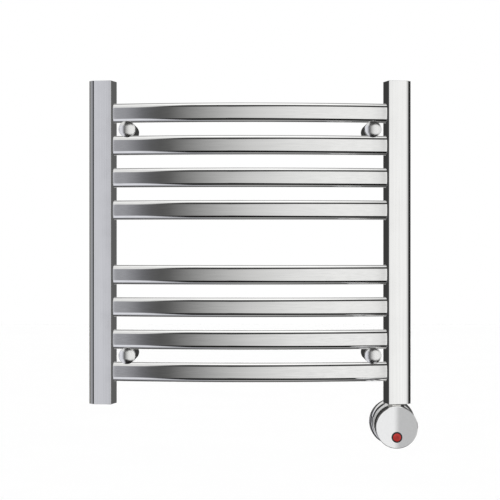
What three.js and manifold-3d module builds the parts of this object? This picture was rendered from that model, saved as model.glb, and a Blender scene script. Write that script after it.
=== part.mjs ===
// Wall-hung electric towel warmer: two upright posts, eight bowed cross bars, four wall brackets and a
// round control head under the right post.
// Millimetres. +X right, +Z up, the wall is the plane y = 0 and the front faces -Y. The origin lies on the
// wall, midway between the four brackets.

import * as THREE from 'three';
import { mergeVertices } from 'three/addons/utils/BufferGeometryUtils.js';
import Module from 'manifold-3d';

const wasm = await Module();
wasm.setup();

// ---- Driving dimensions ----

// Clearances
const FIT_GAP = 0.3; // between a piece and the piece it sits in
const CUT_OVERRUN = 2; // how far a cutter runs past what it cuts
const WELD_DISTANCE = 1e-4; // points this close together are one point

// Posts: a tube with a flat inner face and a rounded outer side
const POST_LENGTH = 500;
const POST_WIDTH = 38;
const POST_DEPTH = 30;
const POST_WALL = 1.5;
const POST_OUTER_RADIUS = 10.5;
const POST_EDGE_RADIUS = 1.2;
const POST_STAND_OFF = 97; // wall to the front edge of the posts
const END_PLATE_THICKNESS = 2.5;

// Cross bars: flat oval tube on one bow
const BAR_HEIGHT = 30;
const BAR_DEPTH = 14.5;
const BAR_WALL = 1.5;
const BAR_EDGE_FLAT = 0.5; // flat left between the two rounds of an edge
const BAR_CHORD = 421; // straight length between the posts
const BAR_BOW_RADIUS = 936;
const BAR_SETBACK = 2; // bar centreline behind the middle of the post
const BAR_INSERT = 5; // length of each bar end inside its post
const BAR_PITCH = 50;
const BARS_PER_GROUP = 4;
const BAR_END_MARGIN = 35; // end of a post to the edge of the outermost bar

// Wall brackets
const BRACKET_INSET = 20.5; // inner face of a post to the bracket's axis
const BRACKET_RADIUS = 13;
const STAND_OFF_BORE = 11;
const STAND_OFF_FRONT_WALL = 12; // solid length between the bore and the rear of the bars
const CLAMP_SPLIT = 3; // open slit between the two halves of the clamp
const CAP_RIM = 2.2; // rim of the cap in front of the bars
const CAP_CROWN = 3.2;
const CLAMP_BOLT_RADIUS = 3;
const CLAMP_BOLT_HEAD_RADIUS = 5;
const CLAMP_BOLT_HEAD = 4;
const CLAMP_BOLT_HEX = 5; // across the flats of the key socket
const CLAMP_BOLT_SOCKET = 2.5;
const WALL_BOSS_LENGTH = 20;
const WALL_SCREW_RADIUS = 2.6;
const WALL_SCREW_HEAD_RADIUS = 5;
const GRUB_RADIUS = 2;
const GRUB_FROM_WALL = 10;

// Heating element
const ELEMENT_INSET = 16; // element axis from the inner face of the post
const ELEMENT_ROD_RADIUS = 5;
const ELEMENT_ROD_LENGTH = 330;
const ELEMENT_ROD_SEAT = 8;
const ELEMENT_THREAD_RADIUS = 10.2;
const ELEMENT_THREAD_LENGTH = 12;
const ELEMENT_HEX = 22; // across the flats
const ELEMENT_HEX_HEIGHT = 4;
const ELEMENT_NECK_RADIUS = 7;
const ELEMENT_NECK_LENGTH = 13;
const ELEMENT_BUSH_HEIGHT = 8;
const WASHER_RADIUS = 12;
const WASHER_THICKNESS = 1;
const LOCK_NUT_HEX = 20;
const LOCK_NUT_HEIGHT = 4;

// Control head, a round drum square to the wall
const HEAD_RADIUS = 32.5;
const HEAD_CLEARANCE = 3.1; // lower end of the post to the top of the drum
const HOUSING_DEPTH = 36; // front plate included
const HOUSING_WALL = 2.2;
const FRONT_PLATE_THICKNESS = 3;
const FRONT_PLATE_BEVEL = 0.8;
const FRONT_SPIGOT_DEPTH = 4;
const FRONT_SPIGOT_WALL = 1.6;
const NECK_SEAT_RADIUS = 13.6;
const NECK_SEAT_THICKNESS = 4;
const SLEEVE_LENGTH = 28;
const SLEEVE_WEB = 3;
const SLEEVE_SPIGOT_WALL = 2.4;
const SLEEVE_GROOVE = 1.5; // open groove between the sleeve and the wall flange
const FLANGE_RADIUS = 35;
const FLANGE_THICKNESS = 12;
const FLANGE_BEVEL = 1;
const FLANGE_TUBE_WALL = 2.5;
const BRIDGE_PLATE_THICKNESS = 3;
const BRIDGE_RIM_DEPTH = 12;
const BRIDGE_RIM_WALL = 2;
const BRIDGE_SCREW_SPACING = 38;
const CABLE_HOLE_RADIUS = 7;
const GROMMET_BORE = 3.5;
const GROMMET_LIP = 1.6;
const HOUSING_SCREW_RADIUS = 1.5;
const HOUSING_SCREW_HEAD_RADIUS = 2.8;
const HOUSING_SCREW_HEAD = 2;
const HOUSING_SCREW_CIRCLE = 20;
const HOUSING_SCREWS = 3;

// Push button in the front plate
const BUTTON_DROP = 15; // below the middle of the front plate
const BUTTON_RADIUS = 6.2;
const BUTTON_THICKNESS = 4.5;
const BUTTON_CROWN = 1;
const BUTTON_PROUD = 0.5; // rim of the button in front of its bezel
const BUTTON_TRAVEL = 1.5;
const STEM_RADIUS = 2;
const BEZEL_RADIUS = 8.1;
const BEZEL_LIP = 1.2;
const BEZEL_WALL = 0.8;
const BEZEL_LENGTH = 9;
const BEZEL_WEB = 1.2;
const SPRING_RADIUS = 4;
const SPRING_WIRE = 0.3;
const SPRING_TURNS = 3;
const SWITCH_WIDTH = 14;
const SWITCH_HEIGHT = 11;
const SWITCH_DEPTH = 12;
const SWITCH_SOCKET = 5; // how far the stem reaches into the switch

// Circuit board and terminals
const BOARD_RADIUS = 27;
const BOARD_THICKNESS = 1.6;
const BOARD_STAND = 2; // board to the rear wall of the housing
const BOARD_TOP = 14; // flat top of the board above the head's axis
const TERMINAL_WIDTH = 26;
const TERMINAL_HEIGHT = 9;
const TERMINAL_DEPTH = 10;
const TERMINAL_WAYS = 3;
const TERMINAL_SCREW_RADIUS = 2;
const TERMINAL_WELL_DEPTH = 2;
const TERMINAL_RISE = 2; // bottom of the terminal block above the head's axis

// Facets
const HEAD_SIDES = 36;
const ROUND_SIDES = 22;
const SMALL_ROUND_SIDES = 10;
const BORE_CORNER_STEPS = 1;
const CORNER_STEPS = 3;
const POST_CORNER_STEPS = 5;
const BOW_STEPS = 9;
const DOME_STEPS = 4;
const SPRING_STEPS_PER_TURN = 10;
const WIRE_SIDES = 6;

// ---- Values worked out from the driving dimensions ----

const barEdgeRadius = (BAR_DEPTH - BAR_EDGE_FLAT) / 2;
const bowAngle = Math.asin(BAR_CHORD / 2 / BAR_BOW_RADIUS);
const postX = BAR_CHORD / 2 + BAR_SETBACK * Math.sin(bowAngle);
const postY = -POST_STAND_OFF + (POST_DEPTH / 2) * Math.cos(bowAngle);
const barEndY = postY + BAR_SETBACK * Math.cos(bowAngle);
const bowCentreY = barEndY + BAR_BOW_RADIUS * Math.cos(bowAngle);
const lastBarZ = POST_LENGTH / 2 - BAR_END_MARGIN - BAR_HEIGHT / 2;
const firstBarZ = lastBarZ - (BARS_PER_GROUP - 1) * BAR_PITCH;
const bracketZ = lastBarZ - BAR_PITCH / 2; // in the gap behind the outermost bar
const bracketX = BAR_CHORD / 2 - BRACKET_INSET;

const elementX = postX + ELEMENT_INSET * Math.cos(bowAngle);
const elementY = postY + ELEMENT_INSET * Math.sin(bowAngle);
const postBottom = -POST_LENGTH / 2;
const hexTop = postBottom - WASHER_THICKNESS;
const hexBottom = hexTop - ELEMENT_HEX_HEIGHT;
const neckSeatTop = hexBottom - FIT_GAP;
const neckSeatBottom = neckSeatTop - NECK_SEAT_THICKNESS;
const neckBossRadius = HOUSING_DEPTH / 2 - FRONT_PLATE_THICKNESS - FIT_GAP;

const headX = elementX;
const headZ = postBottom - HEAD_CLEARANCE - HEAD_RADIUS;
const headFront = elementY - HOUSING_DEPTH / 2;
const housingFront = headFront + FRONT_PLATE_THICKNESS;
const housingRear = headFront + HOUSING_DEPTH;
const sleeveRear = housingRear + SLEEVE_LENGTH;
const flangeBore = HEAD_RADIUS - FLANGE_TUBE_WALL;
const spigotRadius = flangeBore - FIT_GAP;
const spigotBore = spigotRadius - SLEEVE_SPIGOT_WALL;
const bridgeRadius = spigotBore - FIT_GAP;
const bezelBore = BUTTON_RADIUS + FIT_GAP;
const bezelBarrel = bezelBore + BEZEL_WALL;
const buttonFront = headFront - BEZEL_LIP - BUTTON_PROUD;
const buttonRear = buttonFront + BUTTON_THICKNESS;
const bezelRear = headFront + BEZEL_LENGTH;
const switchFront = bezelRear + FIT_GAP;
const boardRear = housingRear - HOUSING_WALL - BOARD_STAND;
const boardFront = boardRear - BOARD_THICKNESS;

// ---- Solids ----

// A closed solid from a geometry of three.js, moved to where it cuts or joins.
function solid(geometry, x = 0, y = 0, z = 0) {
  const bare = geometry.clone();
  bare.deleteAttribute('normal');
  bare.deleteAttribute('uv');
  bare.translate(x, y, z);
  const merged = mergeVertices(bare, WELD_DISTANCE);
  const index = merged.index.array;
  const triangles = [];
  for (let i = 0; i < index.length; i += 3) {
    const [a, b, c] = [index[i], index[i + 1], index[i + 2]];
    if (a !== b && b !== c && c !== a) {
      triangles.push(a, b, c);
    }
  }
  return new wasm.Manifold(new wasm.Mesh({
    numProp: 3,
    vertProperties: Float32Array.from(merged.attributes.position.array),
    triVerts: Uint32Array.from(triangles),
  }));
}

function geometryOf(manifold) {
  const mesh = manifold.getMesh();
  const geometry = new THREE.BufferGeometry();
  geometry.setAttribute('position', new THREE.BufferAttribute(mesh.vertProperties, 3));
  geometry.setIndex(new THREE.BufferAttribute(mesh.triVerts, 1));
  const faceted = geometry.toNonIndexed();
  faceted.computeVertexNormals();
  return faceted;
}

function union(solids) {
  return solids.reduce((joined, next) => joined.add(next));
}

function cut(body, cutters) {
  return cutters.reduce((left, cutter) => left.subtract(cutter), body);
}

// A solid of revolution about the Y axis, its profile given as [radius, y] pairs.
function turned(profile, sides) {
  const points = profile.map(([radius, y]) => new THREE.Vector2(radius, y));
  return solid(new THREE.LatheGeometry(points, sides));
}

// A ring of revolution: the profile closes on itself.
function turnedRing(profile, sides) {
  return turned([...profile, profile[0]], sides);
}

// A cylinder along Y between two values of y.
function roundAlongY(radius, yLow, yHigh, sides, x = 0, z = 0) {
  const geometry = new THREE.CylinderGeometry(radius, radius, yHigh - yLow, sides);
  return solid(geometry, x, (yLow + yHigh) / 2, z);
}

// A cylinder along Z between two heights.
function roundAlongZ(radius, zLow, zHigh, sides, x = 0, y = 0) {
  const geometry = new THREE.CylinderGeometry(radius, radius, zHigh - zLow, sides);
  geometry.rotateX(Math.PI / 2);
  return solid(geometry, x, y, (zLow + zHigh) / 2);
}

// A hexagonal prism along Z, with two flats facing front and rear.
function hexAlongZ(acrossFlats, zLow, zHigh) {
  const cornerRadius = acrossFlats / Math.sqrt(3);
  const geometry = new THREE.CylinderGeometry(cornerRadius, cornerRadius, zHigh - zLow, 6);
  geometry.rotateX(Math.PI / 2);
  geometry.rotateZ(Math.PI / 6);
  return solid(geometry, 0, 0, (zLow + zHigh) / 2);
}

function block(x0, x1, y0, y1, z0, z1) {
  const geometry = new THREE.BoxGeometry(x1 - x0, y1 - y0, z1 - z0);
  return solid(geometry, (x0 + x1) / 2, (y0 + y1) / 2, (z0 + z1) / 2);
}

// The points of a quarter circle, anticlockwise from a start angle.
function quarterArc(x, y, radius, start, steps) {
  const arc = new THREE.EllipseCurve(x, y, radius, radius, start, start + Math.PI / 2);
  return arc.getPoints(steps);
}

// A rectangle with one radius on its two low-x corners and another on its two high-x corners.
function roundedRectangle(x0, x1, y0, y1, lowRadius, highRadius, lowSteps, highSteps) {
  return new THREE.Shape([
    ...quarterArc(x1 - highRadius, y0 + highRadius, highRadius, -Math.PI / 2, highSteps),
    ...quarterArc(x1 - highRadius, y1 - highRadius, highRadius, 0, highSteps),
    ...quarterArc(x0 + lowRadius, y1 - lowRadius, lowRadius, Math.PI / 2, lowSteps),
    ...quarterArc(x0 + lowRadius, y0 + lowRadius, lowRadius, Math.PI, lowSteps),
  ]);
}

// A shape in the XY plane raised between two heights.
function raised(shape, zLow, zHigh) {
  const options = { depth: zHigh - zLow, bevelEnabled: false };
  return solid(new THREE.ExtrudeGeometry(shape, options), 0, 0, zLow);
}

// ---- Materials ----

function finish(color, roughness, metalness) {
  return new THREE.MeshStandardMaterial({ color, roughness, metalness });
}

const polishedChrome = () => finish(0xd9dadd, 0.08, 1);
const satinSteel = () => finish(0xb4b6b9, 0.35, 1);
const brass = () => finish(0xb8975a, 0.35, 1);
const blackRubber = () => finish(0x1c1c1c, 0.8, 0);
const blackPlastic = () => finish(0x101113, 0.3, 0);
const redLens = () => finish(0xb5121b, 0.15, 0);
const greenBoard = () => finish(0x1f5a37, 0.6, 0);
const greyPlastic = () => finish(0x8d9093, 0.55, 0);

// ---- Posts ----

// Outline of a post's section in its own frame: the flat inner face at x = 0, the outer side away from the
// bars.
function postOutline(side, inset) {
  const inner = inset;
  const outer = POST_WIDTH - inset;
  const halfDepth = POST_DEPTH / 2 - inset;
  const edgeRadius = Math.max(POST_EDGE_RADIUS - inset, FIT_GAP);
  const outerRadius = Math.max(POST_OUTER_RADIUS - inset, FIT_GAP);
  const edge = [edgeRadius, 1];
  const round = [outerRadius, POST_CORNER_STEPS];
  const [x0, x1, low, high] = side > 0 ? [inner, outer, edge, round] : [-outer, -inner, round, edge];
  return roundedRectangle(x0, x1, -halfDepth, halfDepth, low[0], high[0], low[1], high[1]);
}

// A bar's flat oval section, grown or shrunk all round.
function barSection(growth, steps = CORNER_STEPS) {
  const halfHeight = BAR_HEIGHT / 2 + growth;
  const halfDepth = BAR_DEPTH / 2 + growth;
  const radius = Math.max(barEdgeRadius + growth, FIT_GAP);
  return roundedRectangle(-halfHeight, halfHeight, -halfDepth, halfDepth, radius, radius, steps, steps);
}

// The slot that takes one bar end, through the inner wall of a post.
function barSlot(side, z) {
  const length = POST_WALL + 2 * CUT_OVERRUN;
  const geometry = new THREE.ExtrudeGeometry(barSection(FIT_GAP), { depth: length, bevelEnabled: false });
  geometry.rotateY(Math.PI / 2);
  const start = side > 0 ? -CUT_OVERRUN : CUT_OVERRUN - length;
  return solid(geometry, start, BAR_SETBACK, z);
}

function postTube(side) {
  const outside = raised(postOutline(side, 0), -POST_LENGTH / 2, POST_LENGTH / 2);
  const reach = POST_LENGTH / 2 + CUT_OVERRUN;
  const bore = raised(postOutline(side, POST_WALL), -reach, reach);
  const slots = barHeights().map((z) => barSlot(side, z));
  return cut(outside, [bore, ...slots]);
}

function endPlate(side, zLow, zHigh) {
  return raised(postOutline(side, POST_WALL + FIT_GAP), zLow, zHigh);
}

function elementBush() {
  const plate = endPlate(1, postBottom, postBottom + ELEMENT_BUSH_HEIGHT);
  const bore = roundAlongZ(
    ELEMENT_THREAD_RADIUS + FIT_GAP,
    postBottom - CUT_OVERRUN,
    postBottom + ELEMENT_BUSH_HEIGHT + CUT_OVERRUN,
    ROUND_SIDES,
    ELEMENT_INSET,
  );
  return cut(plate, [bore]);
}

// A post stands in a group of its own, turned so that its inner face is square to the ends of the bars.
function postGroup(side, name) {
  const group = new THREE.Group();
  group.position.set(side * postX, postY, 0);
  group.rotation.z = side * bowAngle;
  group.add(piece(`${name}_post`, postTube(side), polishedChrome()));
  const top = POST_LENGTH / 2;
  const topPlate = endPlate(side, top - END_PLATE_THICKNESS, top);
  group.add(piece(`${name}_post_top_plate`, topPlate, polishedChrome()));
  if (side > 0) {
    group.add(piece('element_bush', elementBush(), brass()));
  } else {
    const bottomPlate = endPlate(side, postBottom, postBottom + END_PLATE_THICKNESS);
    group.add(piece(`${name}_post_bottom_plate`, bottomPlate, polishedChrome()));
  }
  return group;
}

// ---- Cross bars ----

// Centre heights of all bars, from the top one down.
function barHeights() {
  const heights = [];
  for (let i = 0; i < BARS_PER_GROUP; i += 1) {
    const z = firstBarZ + i * BAR_PITCH;
    heights.push(z, -z);
  }
  return heights.sort((a, b) => b - a);
}

// The bars' centreline seen from above: an arc that bows away from the wall.
class BowCurve extends THREE.Curve {
  constructor(halfAngle) {
    super();
    this.halfAngle = halfAngle;
  }

  getPoint(t, target = new THREE.Vector3()) {
    const angle = (2 * t - 1) * this.halfAngle;
    const x = BAR_BOW_RADIUS * Math.sin(angle);
    const y = bowCentreY - BAR_BOW_RADIUS * Math.cos(angle);
    return target.set(x, y, 0);
  }
}

// The y of the bars' centreline at a distance x from the middle.
function bowY(x) {
  return bowCentreY - Math.sqrt(BAR_BOW_RADIUS ** 2 - x ** 2);
}

function sweptBar(section, halfAngle, z) {
  const geometry = new THREE.ExtrudeGeometry(section, {
    steps: BOW_STEPS,
    bevelEnabled: false,
    extrudePath: new BowCurve(halfAngle),
  });
  return solid(geometry, 0, 0, z);
}

function crossBar() {
  const section = barSection(0);
  section.holes.push(barSection(-BAR_WALL, BORE_CORNER_STEPS));
  return sweptBar(section, bowAngle + BAR_INSERT / BAR_BOW_RADIUS, 0);
}

// ---- Wall brackets ----

// Both bars that a bracket grips, grown by the clearance, in the frame of the bracket.
function grippedBars(side) {
  const offset = BAR_PITCH / 2;
  const bars = [offset, -offset].map((z) => sweptBar(barSection(FIT_GAP), bowAngle, z));
  return bars.map((bar) => bar.translate([-side * bracketX, 0, 0]));
}

// The y of the bars' front and rear faces at the brackets.
const barTilt = Math.asin(bracketX / BAR_BOW_RADIUS);
const gripFront = bowY(bracketX) - BAR_DEPTH / 2 / Math.cos(barTilt);
const gripRear = bowY(bracketX) + BAR_DEPTH / 2 / Math.cos(barTilt);
const splitFront = bowY(bracketX) - CLAMP_SPLIT / 2;
const splitRear = bowY(bracketX) + CLAMP_SPLIT / 2;
const standOffBoreEnd = gripRear + STAND_OFF_FRONT_WALL;
const capRimFront = gripFront - CAP_RIM;

// A domed front: points from the rim to the axis on a circular arc.
function domeProfile(radius, rimY, crown, steps) {
  const sphere = (radius ** 2 + crown ** 2) / (2 * crown);
  const halfAngle = Math.asin(radius / sphere);
  const points = [];
  for (let i = steps; i >= 0; i -= 1) {
    const angle = (halfAngle * i) / steps;
    points.push([sphere * Math.sin(angle), rimY - crown + sphere * (1 - Math.cos(angle))]);
  }
  return points;
}

// Front half of a clamp: a domed button whose rear is shaped to the edges of the two bars.
function clampCap(side) {
  const dome = domeProfile(BRACKET_RADIUS, capRimFront, CAP_CROWN, DOME_STEPS).reverse();
  const button = turned([...dome, [BRACKET_RADIUS, splitFront], [0, splitFront]], ROUND_SIDES);
  const boltHole = roundAlongY(
    CLAMP_BOLT_RADIUS + FIT_GAP,
    gripFront - FIT_GAP,
    splitFront + CUT_OVERRUN,
    SMALL_ROUND_SIDES,
  );
  return cut(button, [...grippedBars(side), boltHole]);
}

// Rear half of a clamp and the tube that carries it off the wall, in one piece.
function standOff(side) {
  const tube = turned([
    [0, splitRear],
    [BRACKET_RADIUS, splitRear],
    [BRACKET_RADIUS, 0],
    [STAND_OFF_BORE, 0],
    [STAND_OFF_BORE, standOffBoreEnd],
    [0, standOffBoreEnd],
  ], ROUND_SIDES);
  const boltHole = roundAlongY(
    CLAMP_BOLT_RADIUS + FIT_GAP,
    splitRear - CUT_OVERRUN,
    standOffBoreEnd + CUT_OVERRUN,
    SMALL_ROUND_SIDES,
  );
  const grubHole = roundAlongZ(
    GRUB_RADIUS + FIT_GAP,
    -BRACKET_RADIUS - CUT_OVERRUN,
    -STAND_OFF_BORE + CUT_OVERRUN,
    SMALL_ROUND_SIDES,
    0,
    -GRUB_FROM_WALL,
  );
  return cut(tube, [...grippedBars(side), boltHole, grubHole]);
}

function clampBolt() {
  const headSeat = standOffBoreEnd + FIT_GAP;
  const headEnd = headSeat + CLAMP_BOLT_HEAD;
  const bolt = turned([
    [0, gripFront],
    [CLAMP_BOLT_RADIUS, gripFront],
    [CLAMP_BOLT_RADIUS, headSeat],
    [CLAMP_BOLT_HEAD_RADIUS, headSeat],
    [CLAMP_BOLT_HEAD_RADIUS, headEnd],
    [0, headEnd],
  ], SMALL_ROUND_SIDES);
  const socketRadius = CLAMP_BOLT_HEX / Math.sqrt(3);
  const socket = roundAlongY(socketRadius, headEnd - CLAMP_BOLT_SOCKET, headEnd + CUT_OVERRUN, 6);
  return cut(bolt, [socket]);
}

// The boss is screwed to the wall and the stand-off slides over it.
function wallBoss() {
  const radius = STAND_OFF_BORE - FIT_GAP;
  const countersink = WALL_SCREW_HEAD_RADIUS - WALL_SCREW_RADIUS;
  return turnedRing([
    [WALL_SCREW_HEAD_RADIUS, -WALL_BOSS_LENGTH],
    [radius, -WALL_BOSS_LENGTH],
    [radius, 0],
    [WALL_SCREW_RADIUS, 0],
    [WALL_SCREW_RADIUS, -WALL_BOSS_LENGTH + countersink],
  ], ROUND_SIDES);
}

function grubScrew() {
  const tip = -STAND_OFF_BORE;
  return roundAlongZ(GRUB_RADIUS, -BRACKET_RADIUS, tip, SMALL_ROUND_SIDES, 0, -GRUB_FROM_WALL);
}

function bracketGroup(side, level, name) {
  const group = new THREE.Group();
  group.position.set(side * bracketX, 0, level * bracketZ);
  group.add(piece(`${name}_clamp_cap`, clampCap(side), polishedChrome()));
  group.add(piece(`${name}_stand_off`, standOff(side), polishedChrome()));
  group.add(piece(`${name}_clamp_bolt`, clampBolt(), satinSteel()));
  group.add(piece(`${name}_wall_boss`, wallBoss(), satinSteel()));
  group.add(piece(`${name}_grub_screw`, grubScrew(), satinSteel()));
  return group;
}

// ---- Heating element ----

function elementRod() {
  const bottom = postBottom + ELEMENT_THREAD_LENGTH - ELEMENT_ROD_SEAT;
  return roundAlongZ(ELEMENT_ROD_RADIUS, bottom, bottom + ELEMENT_ROD_LENGTH, SMALL_ROUND_SIDES);
}

// Thread, hexagon and neck of the element in one brass body.
function elementBody() {
  const threadTop = postBottom + ELEMENT_THREAD_LENGTH;
  const neckBottom = hexBottom - ELEMENT_NECK_LENGTH;
  const body = union([
    roundAlongZ(ELEMENT_THREAD_RADIUS, hexTop - ELEMENT_HEX_HEIGHT / 2, threadTop, ROUND_SIDES),
    hexAlongZ(ELEMENT_HEX, hexBottom, hexTop),
    roundAlongZ(ELEMENT_NECK_RADIUS, neckBottom, hexTop - ELEMENT_HEX_HEIGHT / 2, ROUND_SIDES),
  ]);
  const rodSeat = roundAlongZ(
    ELEMENT_ROD_RADIUS + FIT_GAP,
    threadTop - ELEMENT_ROD_SEAT - FIT_GAP,
    threadTop + CUT_OVERRUN,
    SMALL_ROUND_SIDES,
  );
  return cut(body, [rodSeat]);
}

function sealingWasher() {
  const ring = roundAlongZ(WASHER_RADIUS, hexTop, postBottom, ROUND_SIDES);
  const hole = roundAlongZ(
    ELEMENT_THREAD_RADIUS + FIT_GAP,
    hexTop - CUT_OVERRUN,
    postBottom + CUT_OVERRUN,
    ROUND_SIDES,
  );
  return cut(ring, [hole]);
}

function lockNut() {
  const top = neckSeatBottom - FIT_GAP;
  const bottom = top - LOCK_NUT_HEIGHT;
  const nut = hexAlongZ(LOCK_NUT_HEX, bottom, top);
  const hole = roundAlongZ(
    ELEMENT_NECK_RADIUS + FIT_GAP,
    bottom - CUT_OVERRUN,
    top + CUT_OVERRUN,
    ROUND_SIDES,
  );
  return cut(nut, [hole]);
}

function elementGroup() {
  const group = new THREE.Group();
  group.position.set(elementX, elementY, 0);
  group.add(piece('element_rod', elementRod(), satinSteel()));
  group.add(piece('element_body', elementBody(), brass()));
  group.add(piece('element_washer', sealingWasher(), blackRubber()));
  group.add(piece('element_lock_nut', lockNut(), brass()));
  return group;
}

// ---- Control head ----

// Screw places on the rear wall of the housing, as [x, z] about the head's axis.
function housingScrewPlaces() {
  const places = [];
  for (let i = 0; i < HOUSING_SCREWS; i += 1) {
    const angle = -Math.PI / 2 + (i * 2 * Math.PI) / HOUSING_SCREWS;
    places.push([HOUSING_SCREW_CIRCLE * Math.cos(angle), HOUSING_SCREW_CIRCLE * Math.sin(angle)]);
  }
  return places;
}

function housingScrewHoles(yLow, yHigh) {
  const radius = HOUSING_SCREW_RADIUS + FIT_GAP;
  return housingScrewPlaces().map(([x, z]) => roundAlongY(radius, yLow, yHigh, SMALL_ROUND_SIDES, x, z));
}

// Drum of the control head, open at the front, with a flat seat for the element's neck on top.
function controlHousing() {
  const bore = HEAD_RADIUS - HOUSING_WALL;
  const rearWall = housingRear - HOUSING_WALL;
  const drum = turned([
    [0, rearWall],
    [bore, rearWall],
    [bore, housingFront],
    [HEAD_RADIUS, housingFront],
    [HEAD_RADIUS, housingRear],
    [0, housingRear],
  ], HEAD_SIDES);
  const seatBoss = roundAlongZ(
    neckBossRadius,
    neckSeatBottom - headZ,
    HEAD_RADIUS,
    ROUND_SIDES,
    0,
    elementY,
  ).intersect(roundAlongY(HEAD_RADIUS - FIT_GAP, housingFront, housingRear, HEAD_SIDES));
  const pocket = roundAlongZ(
    NECK_SEAT_RADIUS,
    neckSeatTop - headZ,
    HEAD_RADIUS + CUT_OVERRUN,
    ROUND_SIDES,
    0,
    elementY,
  );
  const neckHole = roundAlongZ(
    ELEMENT_NECK_RADIUS + FIT_GAP,
    neckSeatBottom - headZ - CUT_OVERRUN,
    HEAD_RADIUS,
    ROUND_SIDES,
    0,
    elementY,
  );
  const through = [rearWall - CUT_OVERRUN, housingRear + CUT_OVERRUN];
  const cableHole = roundAlongY(CABLE_HOLE_RADIUS, ...through, ROUND_SIDES);
  return cut(drum.add(seatBoss), [pocket, neckHole, cableHole, ...housingScrewHoles(...through)]);
}

// Front plate with a spigot that plugs into the housing and the hole for the button's bezel.
function frontPlate() {
  const spigotOuter = HEAD_RADIUS - HOUSING_WALL - FIT_GAP;
  const spigotEnd = housingFront + FRONT_SPIGOT_DEPTH;
  const plate = turned([
    [0, headFront],
    [HEAD_RADIUS - FRONT_PLATE_BEVEL, headFront],
    [HEAD_RADIUS, headFront + FRONT_PLATE_BEVEL],
    [HEAD_RADIUS, housingFront],
    [spigotOuter, housingFront],
    [spigotOuter, spigotEnd],
    [spigotOuter - FRONT_SPIGOT_WALL, spigotEnd],
    [spigotOuter - FRONT_SPIGOT_WALL, housingFront],
    [0, housingFront],
  ], HEAD_SIDES);
  const bossClearance = roundAlongZ(
    neckBossRadius + FIT_GAP,
    0,
    HEAD_RADIUS + CUT_OVERRUN,
    ROUND_SIDES,
    0,
    elementY,
  );
  const bezelHole = roundAlongY(
    bezelBarrel + FIT_GAP,
    headFront - CUT_OVERRUN,
    housingFront + CUT_OVERRUN,
    ROUND_SIDES,
    0,
    -BUTTON_DROP,
  );
  return cut(plate, [bossClearance, bezelHole]);
}

// Middle sleeve: a web that carries the housing and a spigot that reaches back over the bridge plate.
function connectionSleeve() {
  const spigotEnd = -FIT_GAP;
  const sleeve = turned([
    [0, housingRear],
    [HEAD_RADIUS, housingRear],
    [HEAD_RADIUS, sleeveRear],
    [spigotRadius, sleeveRear],
    [spigotRadius, spigotEnd],
    [spigotBore, spigotEnd],
    [spigotBore, housingRear + SLEEVE_WEB],
    [0, housingRear + SLEEVE_WEB],
  ], HEAD_SIDES);
  const through = [housingRear - CUT_OVERRUN, housingRear + SLEEVE_WEB + CUT_OVERRUN];
  const cableHole = roundAlongY(CABLE_HOLE_RADIUS, ...through, ROUND_SIDES);
  const grubHole = roundAlongZ(
    GRUB_RADIUS + FIT_GAP,
    -spigotRadius - CUT_OVERRUN,
    -spigotBore + CUT_OVERRUN,
    SMALL_ROUND_SIDES,
    0,
    -BRIDGE_RIM_DEPTH / 2,
  );
  return cut(sleeve, [cableHole, grubHole, ...housingScrewHoles(...through)]);
}

// Flange against the wall, which slides on the sleeve's spigot.
function wallFlange() {
  const front = sleeveRear + SLEEVE_GROOVE;
  return turnedRing([
    [flangeBore, front],
    [HEAD_RADIUS, front],
    [HEAD_RADIUS, -FLANGE_THICKNESS],
    [FLANGE_RADIUS - FLANGE_BEVEL, -FLANGE_THICKNESS],
    [FLANGE_RADIUS, -FLANGE_THICKNESS + FLANGE_BEVEL],
    [FLANGE_RADIUS, 0],
    [flangeBore, 0],
  ], HEAD_SIDES);
}

// Plate screwed over the wall outlet, with a rim that holds the sleeve.
function bridgePlate() {
  const plate = turned([
    [0, -BRIDGE_PLATE_THICKNESS],
    [bridgeRadius - BRIDGE_RIM_WALL, -BRIDGE_PLATE_THICKNESS],
    [bridgeRadius - BRIDGE_RIM_WALL, -BRIDGE_RIM_DEPTH],
    [bridgeRadius, -BRIDGE_RIM_DEPTH],
    [bridgeRadius, 0],
    [0, 0],
  ], HEAD_SIDES);
  const through = [-BRIDGE_PLATE_THICKNESS - CUT_OVERRUN, CUT_OVERRUN];
  const screwHoles = [-1, 1].map((side) => roundAlongY(
    WALL_SCREW_RADIUS,
    ...through,
    SMALL_ROUND_SIDES,
    (side * BRIDGE_SCREW_SPACING) / 2,
  ));
  return cut(plate, [roundAlongY(CABLE_HOLE_RADIUS, ...through, ROUND_SIDES), ...screwHoles]);
}

function sleeveGrubScrew() {
  const tip = -bridgeRadius - FIT_GAP;
  return roundAlongZ(GRUB_RADIUS, -spigotRadius, tip, SMALL_ROUND_SIDES, 0, -BRIDGE_RIM_DEPTH / 2);
}

// Rubber grommet through the rear wall of the housing and the web of the sleeve.
function cableGrommet() {
  const waist = CABLE_HOLE_RADIUS - FIT_GAP;
  const lip = CABLE_HOLE_RADIUS + GROMMET_LIP;
  const front = housingRear - HOUSING_WALL - FIT_GAP;
  const rear = housingRear + SLEEVE_WEB + FIT_GAP;
  return turnedRing([
    [GROMMET_BORE, front - GROMMET_LIP],
    [lip, front - GROMMET_LIP],
    [lip, front],
    [waist, front],
    [waist, rear],
    [lip, rear],
    [lip, rear + GROMMET_LIP],
    [GROMMET_BORE, rear + GROMMET_LIP],
  ], ROUND_SIDES);
}

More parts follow.
